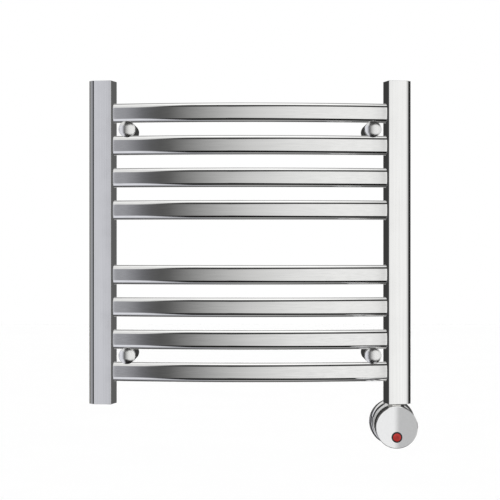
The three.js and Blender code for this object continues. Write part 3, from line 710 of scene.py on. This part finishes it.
def make_posts():
    """The foot of the right post has no plate: the heating element closes it."""
    for side, name, ends in ((-1, "left", ("top", "bottom")), (1, "right", ("top",))):
        tube = post_tube(side, name)
        dress(tube, chrome_along_z, "polished_chrome", f"{name}_post", mirrored=False)
        for end in ends:
            node = f"{name}_post_{end}_plate"
            low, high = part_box(node)
            plate = end_plate(side, f"{name}_post_{end}_cover", low.z, high.z)
            dress(plate, chrome_turned, "polished_chrome", node, mirrored=False)


# ---- Cross bars ----


def filled(path, longest):
    """The same closed path with more points along its straight runs."""
    points = []
    for start, end in zip(path, path[1:] + path[:1]):
        count = math.ceil((end - start).length / longest)
        points += [start.lerp(end, i / count) for i in range(count)]
    return points


def bar_outline(growth=0.0):
    """The section of a bar as (depth, height) points: a flat oval with slightly crowned faces."""
    depth = BAR_DEPTH / 2 + growth
    height = bar_height / 2 + growth
    radius = BAR_EDGE_RADIUS + growth
    corners = [(-depth, -height), (depth, -height), (depth, height), (-depth, height)]
    oval = filled(rounded([(*corner, radius) for corner in corners], steps=CORNER_STEPS), BAR_FACE_STEP)
    return [Vector((u - BAR_CROWN * u / depth * (v / height) ** 2, v)) for u, v in oval]


def bow_ring(outline, angle, z):
    """The points of a bar's section at an angle round the bow."""
    ring = []
    for depth, height in outline:
        radius = BAR_BOW_RADIUS - depth
        x = radius * math.sin(angle)
        y = bow_centre_y - radius * math.cos(angle)
        ring.append(Vector((x, y, z + height)))
    return ring


def bowed(name, outline, z, half_angle, steps=BOW_STEPS):
    angles = [half_angle * (2 * i / steps - 1) for i in range(steps + 1)]
    return lofted(name, [bow_ring(outline, angle, z) for angle in angles])


def weld(name, side, z):
    """The polished bead where a bar enters the inner face of a post."""
    angle = side * bow_angle
    inward = Vector((-math.cos(angle), -math.sin(angle), 0)) * side
    seat = bow_ring(bar_outline(-WELD_RADIUS / 2), angle, z)
    reach = bow_ring(bar_outline(WELD_RADIUS), angle, z)
    rings = []
    for near, far in zip(seat, reach):
        outward = (far - near).normalized()
        rings.append(circle((near + far) / 2, outward, inward, WELD_RADIUS, 2 * FILLET_STEPS))
    return lofted(name, rings, closed=True)


def make_bars():
    for node in bar_names:
        z = middle(node).z
        bar = bowed(f"{node}_tube", bar_outline(), z, bar_half_angle)
        dress(bar, chrome_along_x, "polished_chrome", node, mirrored=False)
        for side, end in ((-1, "left"), (1, "right")):
            bead = weld(f"{node}_{end}_weld", side, z)
            dress(bead, chrome_turned, "polished_chrome")


# ---- Wall brackets ----


def gripped_bars(z):
    """Cutters with the shape of the two bars that a bracket grips."""
    heights = sorted((middle(node).z for node in bar_names), key=lambda height: abs(height - z))
    return [bowed("grip", bar_outline(FIT_GAP), height, bow_angle) for height in heights[:2]]


def clamp_cap(name):
    """A domed button cut to the two bars behind it."""
    low, high, centre, radius = extent(f"{name}_clamp_cap")
    behind = [(radius, high.y, 0), (0, high.y, 0)]
    profile = domed(radius, low.y + CAP_CROWN, CAP_CROWN, CAP_EDGE_RADIUS, behind)
    return carve(turned(f"{name}_cap", profile, centre), gripped_bars(centre.z))


def stand_off(name):
    """A tube with a bore for the wall boss at its rear and a hole for the grub screw in its side."""
    low, high, centre, radius = extent(f"{name}_stand_off")
    bore_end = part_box(f"{name}_clamp_bolt")[1].y - CLAMP_BOLT_HEAD - FIT_GAP
    profile = rounded(
        [
            (0, low.y, 0),
            (radius, low.y, SEAM_RADIUS),
            (radius, high.y, SEAM_RADIUS),
            (STAND_OFF_BORE, high.y, SEAM_RADIUS),
            (STAND_OFF_BORE, bore_end, 0),
            (0, bore_end, 0),
        ],
        closed=False,
    )
    tube = turned(f"{name}_tube", profile, centre)
    grub_low, grub_high, grub_centre, grub_radius = extent(f"{name}_grub_screw")
    bottom, top = grub_low.z - CUT_OVERRUN, grub_high.z + CUT_OVERRUN
    hole = rod("grub hole", grub_radius + FIT_GAP, bottom, top, grub_centre, GRUB_HOLE_SIDES, along="Z")
    return carve(tube, [*gripped_bars(centre.z), hole])


def make_brackets():
    for name in bracket_names:
        cap, tube = clamp_cap(name), stand_off(name)
        dress(cap, chrome_buffed, "polished_chrome", f"{name}_clamp_cap", mirrored=False)
        dress(tube, chrome_turned, "polished_chrome", f"{name}_stand_off", mirrored=False)


# ---- Control head ----


def make_front_plate():
    """A disc with a bevelled rim and a hole for the bezel of the button."""
    profile = rounded(
        [
            (0, head_front, 0),
            (head_radius - PLATE_BEVEL, head_front, SEAM_RADIUS),
            (head_radius, head_front + PLATE_BEVEL, SEAM_RADIUS),
            (head_radius, housing_front, SEAM_RADIUS),
            (0, housing_front, 0),
        ],
        closed=False,
    )
    plate = turned("front_plate", profile, head_centre, sides=HEAD_SIDES)
    near, far = head_front - CUT_OVERRUN, housing_front + CUT_OVERRUN
    hole = rod("bezel hole", bezel_barrel + FIT_GAP, near, far, button_centre, BEZEL_HOLE_SIDES)
    dress(carve(plate, [hole]), chrome_turned, "polished_chrome", "control_front_plate")


def make_housing():
    """Drum open at the front, with a sunk seat for the element's hexagon in its top."""
    inner = head_radius - HOUSING_WALL
    rear_wall = housing_rear - HOUSING_WALL
    profile = rounded(
        [
            (inner, housing_front, SEAM_RADIUS),
            (head_radius, housing_front, SEAM_RADIUS),
            (head_radius, housing_rear, SEAM_RADIUS),
            (CABLE_HOLE, housing_rear, 0),
            (CABLE_HOLE, rear_wall, 0),
            (inner, rear_wall, SEAM_RADIUS),
        ]
    )
    drum = turned("housing_drum", profile, head_centre, sides=HEAD_SIDES, closed=True)
    neck = middle("element_body")
    seat = hex_bottom - FIT_GAP
    boss_radius = (housing_rear - head_front) / 2 - PLATE_THICKNESS - FIT_GAP
    top = head_centre.z + head_radius
    boss = rod("seat boss", boss_radius, seat - NECK_SEAT_THICKNESS, top, neck, NECK_SIDES, along="Z")
    core = rod("core", head_radius - FIT_GAP, housing_front, housing_rear, head_centre)
    carve(boss, [core], "INTERSECT")
    carve(drum, [boss], "UNION")
    pocket = rod("pocket", NECK_SEAT_RADIUS, seat, top + CUT_OVERRUN, neck, NECK_SIDES, along="Z")
    hole = rod("neck hole", NECK_RADIUS + FIT_GAP, head_centre.z, top, neck, NECK_SIDES, along="Z")
    carve(drum, [pocket, hole])
    dress(drum, chrome_turned, "polished_chrome", "control_housing")


def make_sleeve():
    """A cup whose thinner rear end, the spigot, slides into the flange."""
    low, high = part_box("connection_sleeve")
    shoulder = low.y + SLEEVE_LENGTH
    web = low.y + SLEEVE_WEB
    spigot = head_radius - FLANGE_TUBE_WALL - FIT_GAP
    bore = spigot - SLEEVE_SPIGOT_WALL
    profile = rounded(
        [
            (CABLE_HOLE, low.y, 0),
            (head_radius, low.y, SEAM_RADIUS),
            (head_radius, shoulder, SEAM_RADIUS),
            (spigot, shoulder, 0),
            (spigot, high.y, SEAM_RADIUS),
            (bore, high.y, SEAM_RADIUS),
            (bore, web, 0),
            (CABLE_HOLE, web, 0),
        ]
    )
    sleeve = turned("sleeve_tube", profile, head_centre, sides=HEAD_SIDES, closed=True)
    dress(sleeve, satin_chrome, "polished_chrome", "connection_sleeve")


def arc_by_lean(start, reach, leans, steps=FILLET_STEPS):
    """Corners of an arc from start that widens by reach as its lean goes from the first to the last."""
    first, last = leans
    bend = reach / (math.sin(last) - math.sin(first))
    points = []
    for i in range(steps + 1):
        lean = first + (last - first) * i / steps
        across = bend * (math.sin(lean) - math.sin(first))
        points.append((start[0] + across, start[1] + bend * (math.cos(first) - math.cos(lean)), 0))
    return points


def make_flange():
    """Collar that widens at the wall, its front face rounded over, with a band of painted shade round its
    neck.
    """
    low, high, _, radius = extent("wall_flange")
    radius += FLANGE_SPREAD
    bore = head_radius - FLANGE_TUBE_WALL
    shoulder = high.y - FLANGE_THICKNESS
    shade_band_seat = head_radius - SHADE_BAND_DEPTH
    shade_band_front = shoulder - SHADE_BAND_WIDTH
    face = arc_by_lean((head_radius, shoulder), radius - FLANGE_BEVEL - head_radius, FLANGE_LEAN)
    profile = rounded(
        [
            (bore, low.y, SEAM_RADIUS),
            (head_radius, low.y, SEAM_RADIUS),
            (head_radius, shade_band_front, SEAM_RADIUS),
            (shade_band_seat, shade_band_front, 0),
            (shade_band_seat, shoulder, 0),
            *face,
            (radius, face[-1][1] + FLANGE_BEVEL, SEAM_RADIUS),
            (radius, high.y, SEAM_RADIUS),
            (bore, high.y, SEAM_RADIUS),
        ]
    )
    flange = turned("flange_ring", profile, head_centre, sides=HEAD_SIDES, closed=True)
    dress(flange, chrome_turned, "polished_chrome", "wall_flange")
    # A black band on the neck just in front of the shoulder: painted shade where the neck meets the
    # flange's face.
    band = rounded(
        [
            (shade_band_seat, shade_band_front, 0),
            (head_radius, shade_band_front, SEAM_RADIUS),
            (head_radius, shoulder, SEAM_RADIUS),
            (shade_band_seat, shoulder, 0),
        ]
    )
    shade_band = turned("flange_shade_band", band, head_centre, sides=HEAD_SIDES, closed=True)
    dress(shade_band, rubber, "black_rubber")


def thread_profile(bottom, top):
    """Rounded ridges of the element's pipe thread."""
    profile = [(0, bottom)]
    level = bottom
    while level + THREAD_PITCH <= top:
        profile.append((THREAD_RADIUS - THREAD_DEPTH, level))
        profile.append((THREAD_RADIUS, level + THREAD_PITCH / 2))
        level += THREAD_PITCH
    profile.append((THREAD_RADIUS - THREAD_DEPTH, top))
    profile.append((0, top))
    return profile


def make_element_body():
    """Hexagon with chamfered corners between a thread and a plated neck."""
    low, high, centre, _ = extent("element_body")
    corner_radius = HEX_FLATS / math.sqrt(3)
    hexagon = rod("element_hexagon", corner_radius, hex_bottom, hex_top, centre, sides=6, along="Z")
    chamfer = HEX_FLATS / 2 + HEX_CHAMFER
    blank = turned(
        "chamfered blank",
        [
            (0, hex_bottom),
            (chamfer, hex_bottom),
            (corner_radius + HEX_CHAMFER, hex_bottom + HEX_CHAMFER),
            (corner_radius + HEX_CHAMFER, hex_top - HEX_CHAMFER),
            (chamfer, hex_top),
            (0, hex_top),
        ],
        centre,
        along="Z",
    )
    carve(hexagon, [blank], "INTERSECT")
    soften(hexagon, SEAM_RADIUS, HEX_EDGE_SEGMENTS)
    thread = turned("element_thread", thread_profile(hex_top, high.z), centre, along="Z")
    neck = rod("element_neck", NECK_RADIUS, low.z, hex_bottom, centre, NECK_SIDES, along="Z")
    dress(hexagon, plated_brass, "brass", "element_body")
    dress(thread, brass, "brass", "element_body", mirrored=False)
    dress(neck, plated_brass, "brass", "element_body")


# ---- Push button ----


def make_button():
    """A domed cap with a stem behind it."""
    rim = button_low.y + BUTTON_CROWN
    rear = rim + BUTTON_THICKNESS
    behind = [
        (button_radius, rear, SEAM_RADIUS),
        (STEM_RADIUS, rear, 0),
        (STEM_RADIUS, button_high.y, SEAM_RADIUS),
        (0, button_high.y, 0),
    ]
    profile = domed(button_radius, rim, BUTTON_CROWN, BUTTON_EDGE_RADIUS, behind)
    cap = turned("button_cap", profile, button_centre)
    lens = red_lens(button_centre, button_radius)
    dress(cap, lens, "red_lens", "push_button", body="button")


def make_bezel():
    """A flanged cup round the button, with a hole for its stem."""
    low, high, _, radius = extent("button_bezel")
    radius += BEZEL_SPREAD
    stem_hole = STEM_RADIUS + FIT_GAP
    lip = low.y + BEZEL_LIP - FIT_GAP / 2
    floor = high.y - BEZEL_LIP
    profile = rounded(
        [
            (bezel_bore, low.y, SEAM_RADIUS),
            (radius, low.y, BEZEL_EDGE_RADIUS),
            (radius, lip, 0),
            (bezel_barrel, lip, 0),
            (bezel_barrel, high.y, SEAM_RADIUS),
            (stem_hole, high.y, 0),
            (stem_hole, floor, 0),
            (bezel_bore, floor, 0),
        ]
    )
    bezel = turned("bezel_ring", profile, button_centre, closed=True)
    dress(bezel, plastic, "black_plastic", "button_bezel")


def make_return_spring():
    """The coil behind the button, which is squeezed as the button goes in."""
    low, high, centre, radius = extent("button_return_spring")
    radius -= SPRING_WIRE_RADIUS
    front, rear = low.y + SPRING_WIRE_RADIUS, high.y - SPRING_WIRE_RADIUS
    backward = Vector((0, 1, 0))
    rings = []
    for i in range(SPRING_TURNS * SPRING_STEPS + 1):
        turns = i / SPRING_STEPS
        angle = 2 * math.pi * turns
        outward = Vector((math.cos(angle), 0, math.sin(angle)))
        level = front + (rear - front) * turns / SPRING_TURNS
        heart = Vector((centre.x, level, centre.z)) + outward * radius
        rings.append(circle(heart, outward, backward, SPRING_WIRE_RADIUS, WIRE_SIDES))
    spring = lofted("return_spring_coil", rings)
    dress(spring, steel, "satin_steel", "button_return_spring", mirrored=False)
    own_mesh(spring)


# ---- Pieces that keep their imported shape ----

node_finishes = {
    "element_rod": steel,
    "element_washer": rubber,
    "element_lock_nut": brass,
    "element_bush": brass,
    "bridge_plate": steel,
    "sleeve_grub_screw": steel,
    "cable_grommet": rubber,
    "circuit_board": board_green,
    "terminal_block": grey_plastic,
    "switch_body": plastic,
}
for name in bracket_names:
    for part in ("clamp_bolt", "wall_boss", "grub_screw"):
        node_finishes[f"{name}_{part}"] = steel
for number in (1, 2, 3):
    node_finishes[f"housing_screw_{number}"] = steel


def finish_nodes():
    """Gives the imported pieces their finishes; metal doesn't mirror them."""
    for node, material in node_finishes.items():
        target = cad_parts[node]
        target.data.materials.clear()
        target.data.materials.append(material)
        target.visible_glossy = False


# ---- Camera, floor, world and lamps ----

# The camera's distance is to the wall, its lens and sensor are in millimetres, and its shift is a share of
# the sensor.
CAMERA_DISTANCE = 2.737
LENS = 123.3
SENSOR = 36.0
FRAME_SHIFT = -0.0152
VIEW_REACH = 100.0

FLOOR_LEVEL = -0.80
FLOOR_REACH = 14.0
FLOOR_PALE = 0.80
FLOOR_DULL = 0.788

SKY_LEVEL = 0.60

# The direction of each lamp from the rack, and what it adds to a surface that faces it.
KEY_LAMP = ((-1.6, -1.8, 2.6), 0.36)
FILL_LAMP = ((2.0, -1.2, 2.2), 0.20)
LAMP_SPREAD = math.radians(50)


def make_camera():
    data = bpy.data.cameras.new("camera")
    data.lens = LENS
    data.sensor_width = SENSOR
    data.shift_y = FRAME_SHIFT
    data.clip_end = VIEW_REACH
    camera = bpy.data.objects.new("camera", data)
    camera.location = (0, -CAMERA_DISTANCE, 0)
    camera.rotation_euler = (math.radians(90), 0, 0)
    bpy.context.scene.collection.objects.link(camera)
    bpy.context.scene.camera = camera


def seen_directly_or_mirrored(graph):
    """1 on camera rays and on rays that metal or glass sends back to the camera."""
    path = graph.node("ShaderNodeLightPath", {}, {}, "Is Camera Ray")
    glossy = Value(graph, path.socket.node.outputs["Is Glossy Ray"])
    through = Value(graph, path.socket.node.outputs["Is Transmission Ray"])
    return path.maths("MAXIMUM", glossy).maths("MAXIMUM", through)


def make_world():
    """A plain sky that looks white and lights less than it looks."""
    world = bpy.data.worlds.new("studio")
    graph = Graph(world)
    colour = graph.mix(seen_directly_or_mirrored(graph), SKY_LEVEL, 1.0)
    background = graph.node("ShaderNodeBackground", {}, {"Color": colour, "Strength": 1.0})
    graph.node("ShaderNodeOutputWorld", {}, {"Surface": background})
    bpy.context.scene.world = world


def make_floor():
    """A pale floor that looks white where no shadow falls: its own glow makes up what it lacks."""
    bm = bmesh.new()
    corners = [(-1, -1), (1, -1), (1, 1), (-1, 1)]
    bm.faces.new([bm.verts.new((x * FLOOR_REACH, y * FLOOR_REACH, FLOOR_LEVEL)) for x, y in corners])
    floor = piece_from("floor", bm)
    material = bpy.data.materials.new("pale floor")
    graph = Graph(material)
    cloud = graph.noise(graph.place(), scale=3.0, detail=3.0)
    surface(
        graph,
        Base_Color=graph.mix(cloud, FLOOR_PALE, FLOOR_DULL),
        Roughness=0.9,
        Specular_IOR_Level=0.0,
        Emission_Color=graph.mix(seen_directly_or_mirrored(graph), 0.0, 1.0 - FLOOR_PALE),
        Emission_Strength=1.0,
    )
    floor.data.materials.append(material)
    floor.visible_glossy = False


def add_lamp(name, direction, level):
    """A wide soft lamp far away, which metal doesn't mirror."""
    data = bpy.data.lights.new(name, "SUN")
    data.energy = level * math.pi
    data.angle = LAMP_SPREAD
    lamp = bpy.data.objects.new(name, data)
    lamp.rotation_euler = (-Vector(direction)).to_track_quat("-Z", "Y").to_euler()
    lamp.visible_glossy = False
    bpy.context.scene.collection.objects.link(lamp)


# ---- Reflecting screens ----

# What metal mirrors is a tent of screens far round the rack. Angles are in degrees as the rack sees them:
# azimuth is 0 at the front and 90 at the right, and elevation is 0 at its own level. In each table a pair
# is an angle and the grey there. Softness is the angle over which an edge fades.

TENT_RADIUS = 60.0
TENT_SEGMENTS = 96
TENT_RINGS = 48

# From the ground up, in front and behind: a grey ground, dark flags and a white ceiling.
FRONT_SIDE = (-90, 90)
FRONT_SIDE_SOFTNESS = 20
FRONT_HEIGHTS = (
    (-90, 0.38),
    (-75, 0.45),
    (-67, 0.10),
    (-60, 0.01),
    (-38, 0.01),
    (-28, 0.08),
    (28, 0.09),
    (50, 0.03),
    (58, 0.08),
    (64, 0.30),
    (70, 1.2),
    (90, 1.2),
)
REAR_HEIGHTS = (
    (-90, 0.38),
    (-80, 0.05),
    (-62, 0.05),
    (-45, 0.45),
    (-12, 0.85),
    (24, 0.95),
    (32, 0.40),
    (52, 0.35),
    (60, 0.25),
    (66, 0.30),
    (76, 0.85),
    (82, 1.2),
    (90, 1.2),
)

# What the bars mirror at their own level lies between these azimuths.
BARS_VIEW = (-38, 40)
BARS_VIEW_SOFTNESS = 0.5

# Past this azimuth lies what the flat fronts of the posts mirror, and short of it what the bars mirror.
# The shades step there, over twice the edge.
POST_AZIMUTH = 30.6
POST_EDGE = 0.06

# A tall white panel at the left.
LEFT_PANEL = (-62, -25)
LEFT_PANEL_HEIGHTS = (-66, 72)
LEFT_PANEL_SOFTNESS = 7
LEFT_PANEL_SHADES = ((-60, 0.78), (60, 0.85))

# A wide round light in front, brighter towards the right; it fades between two shares of its half sizes.
ROUND_LIGHT_MIDDLE = 22
ROUND_LIGHT_HALF_WIDTH = 41
ROUND_LIGHT_HALF_HEIGHT = 34
ROUND_LIGHT_FADE = (0.90, 1.05)
ROUND_LIGHT_SHADES = (
    (-20, 0.10),
    (-15, 0.21),
    (-10, 0.37),
    (-5, 0.52),
    (0, 0.65),
    (10, 0.82),
    (20, 0.91),
    (27, 0.91),
    (29, 0.84),
    (POST_AZIMUTH - POST_EDGE, 0.68),
    (POST_AZIMUTH + POST_EDGE, 1.0),
    (BARS_VIEW[1], 0.90),
)

# The band at the level of the rack between the left panel and that light.
LEVEL_HEIGHTS = (-27, 27)
LEVEL_SOFTNESS = 8
LEVEL_RIGHT = -5
LEVEL_SHADES = (
    (BARS_VIEW[0], 0.74),
    (-POST_AZIMUTH - POST_EDGE, 0.64),
    (-POST_AZIMUTH + POST_EDGE, 0.35),
    (-28, 0.33),
    (-26, 0.25),
    (-24, 0.16),
    (-22, 0.115),
    (-20, 0.10),
    (-18, 0.12),
    (-15, 0.21),
    (-10, 0.37),
    (LEVEL_RIGHT, 0.52),
)

# The sides and the rear at the level of the rack.
SIDE_HEIGHTS = (-8.5, 8.5)
SIDE_SOFTNESS = 2
SIDE_SHADES = (
    (-180, 0.04),
    (-137, 0.05),
    (-133, 0.33),
    (-110, 0.28),
    (-95, 0.23),
    (-84, 0.45),
    (-74, 0.34),
    (-71, 0.05),
    (-58, 0.04),
    (-54, 0.85),
    (-47, 0.90),
    (-40, 0.74),
    (40, 0.90),
    (68, 0.82),
    (86, 0.20),
    (94, 0.015),
    (120, 0.015),
    (135, 0.12),
    (154, 0.12),
    (165, 0.05),
    (180, 0.04),
)

# The left side is a little cool as far up as the fade, and the rest a little warm.
COOL_SIDE = (-95, -22)
COOL_SOFTNESS = 6
COOL_FADE = (22, 32)
COOL = (0.985, 0.99, 1.045)
WARM = (1.004, 1.0, 0.982)

# A small round card close before the control head, half bright and half grey, which its plate mirrors.
CARD_GAP = 60 * MM
CARD_THICKNESS = 0.5 * MM
CARD_BRIGHT = 0.93
CARD_GREY = 0.56
CARD_BLEND = 12 * MM


def between(graph, value, low, high, softness):
    """1 where value lies between two limits, with soft edges."""
    rise = graph.smooth(value, low - softness / 2, low + softness / 2)
    fall = graph.smooth(value, high - softness / 2, high + softness / 2)
    return rise * (1 - fall)


def ramp_by_angle(graph, angle, shades):
    """The grey at an angle, from a table that rises by angle."""
    first, last = shades[0][0], shades[-1][0]
    stops = [((at - first) / (last - first), shade) for at, shade in shades]
    return graph.ramp((angle - first) / (last - first), stops)


def glow(graph, shade):
    """Closes the material of a screen, which only shines."""
    surface(graph, Base_Color=0.0, Specular_IOR_Level=0.0, Emission_Color=shade, Emission_Strength=1.0)


def set_up_screen(screen, material):
    """Makes a screen that only metal sees."""
    screen.data.materials.append(material)
    screen.visible_camera = False
    screen.visible_diffuse = False
    screen.visible_shadow = False


def tent_material():
    """The shades of the tent, each laid over those before it.

    facing is twice the azimuth at which metal faces when it mirrors a direction to the front. Shades that
    follow it stand upright even at the rounds of a bar, where those by azimuth would lean.
    """
    material = bpy.data.materials.new("studio screens")
    graph = Graph(material)
    direction = graph.node("ShaderNodeVectorMath", {"operation": "NORMALIZE"}, {0: graph.place()})
    x, y, z = (graph.node("ShaderNodeSeparateXYZ", {}, {0: direction}, axis) for axis in range(3))
    azimuth = x.maths("ARCTAN2", 0 - y) * math.degrees(1)
    elevation = z.maths("ARCSINE") * math.degrees(1)
    facing = x.maths("ARCTAN2", 1 - y) * (2 * math.degrees(1))

    front = between(graph, azimuth, *FRONT_SIDE, FRONT_SIDE_SOFTNESS)
    front_shade = ramp_by_angle(graph, elevation, FRONT_HEIGHTS)
    shade = graph.mix(front, ramp_by_angle(graph, elevation, REAR_HEIGHTS), front_shade)

    left = between(graph, azimuth, *LEFT_PANEL, LEFT_PANEL_SOFTNESS)
    left = left * between(graph, elevation, *LEFT_PANEL_HEIGHTS, LEFT_PANEL_SOFTNESS)
    shade = graph.mix(left, shade, ramp_by_angle(graph, elevation, LEFT_PANEL_SHADES))

    across = (azimuth - ROUND_LIGHT_MIDDLE) / ROUND_LIGHT_HALF_WIDTH
    up = elevation / ROUND_LIGHT_HALF_HEIGHT
    reach = (across * across + up * up).maths("SQRT")
    inside = 1 - graph.smooth(reach, *ROUND_LIGHT_FADE)
    shade = graph.mix(inside, shade, ramp_by_angle(graph, facing, ROUND_LIGHT_SHADES))

    level = between(graph, elevation, *LEVEL_HEIGHTS, LEVEL_SOFTNESS)
    level = level * between(graph, facing, BARS_VIEW[0], LEVEL_RIGHT, BARS_VIEW_SOFTNESS)
    shade = graph.mix(level, shade, ramp_by_angle(graph, facing, LEVEL_SHADES))

    side = between(graph, elevation, *SIDE_HEIGHTS, SIDE_SOFTNESS)
    side = side * (1 - between(graph, azimuth, *BARS_VIEW, BARS_VIEW_SOFTNESS))
    shade = graph.mix(side, shade, ramp_by_angle(graph, azimuth, SIDE_SHADES))

    cool = between(graph, azimuth, *COOL_SIDE, COOL_SOFTNESS)
    cool = cool * (1 - graph.smooth(elevation, *COOL_FADE))
    glow(graph, graph.stretched(shade, graph.mix(cool, WARM, COOL)))
    return material


def make_tent():
    """Far screens all round the rack."""
    bm = bmesh.new()
    bmesh.ops.create_uvsphere(bm, u_segments=TENT_SEGMENTS, v_segments=TENT_RINGS, radius=TENT_RADIUS)
    set_up_screen(piece_from("studio_screens", bm), tent_material())


def make_card():
    """The card covers what the front plate of the control head mirrors in the view from the front."""
    spread = 1 + CARD_GAP / CAMERA_DISTANCE
    centre = head_centre * spread
    near = head_front - CARD_GAP
    card = rod("head_card", head_radius * spread, near, near - CARD_THICKNESS, centre)
    material = bpy.data.materials.new("half grey card")
    graph = Graph(material)
    x = graph.node("ShaderNodeSeparateXYZ", {}, {0: graph.place()})
    blend = graph.smooth(x, centre.x - CARD_BLEND / 2, centre.x + CARD_BLEND / 2)
    glow(graph, graph.mix(blend, CARD_BRIGHT, CARD_GREY))
    set_up_screen(card, material)


def make_studio():
    make_world()
    make_floor()
    add_lamp("key lamp", *KEY_LAMP)
    add_lamp("fill lamp", *FILL_LAMP)
    make_tent()
    make_card()


# ---- The whole scene ----

make_camera()
make_posts()
make_bars()
make_brackets()
make_button()
make_bezel()
make_front_plate()
make_return_spring()
make_housing()
make_sleeve()
make_flange()
make_element_body()
finish_nodes()
make_studio()

scene = bpy.context.scene
scene.view_settings.view_transform = "Standard"
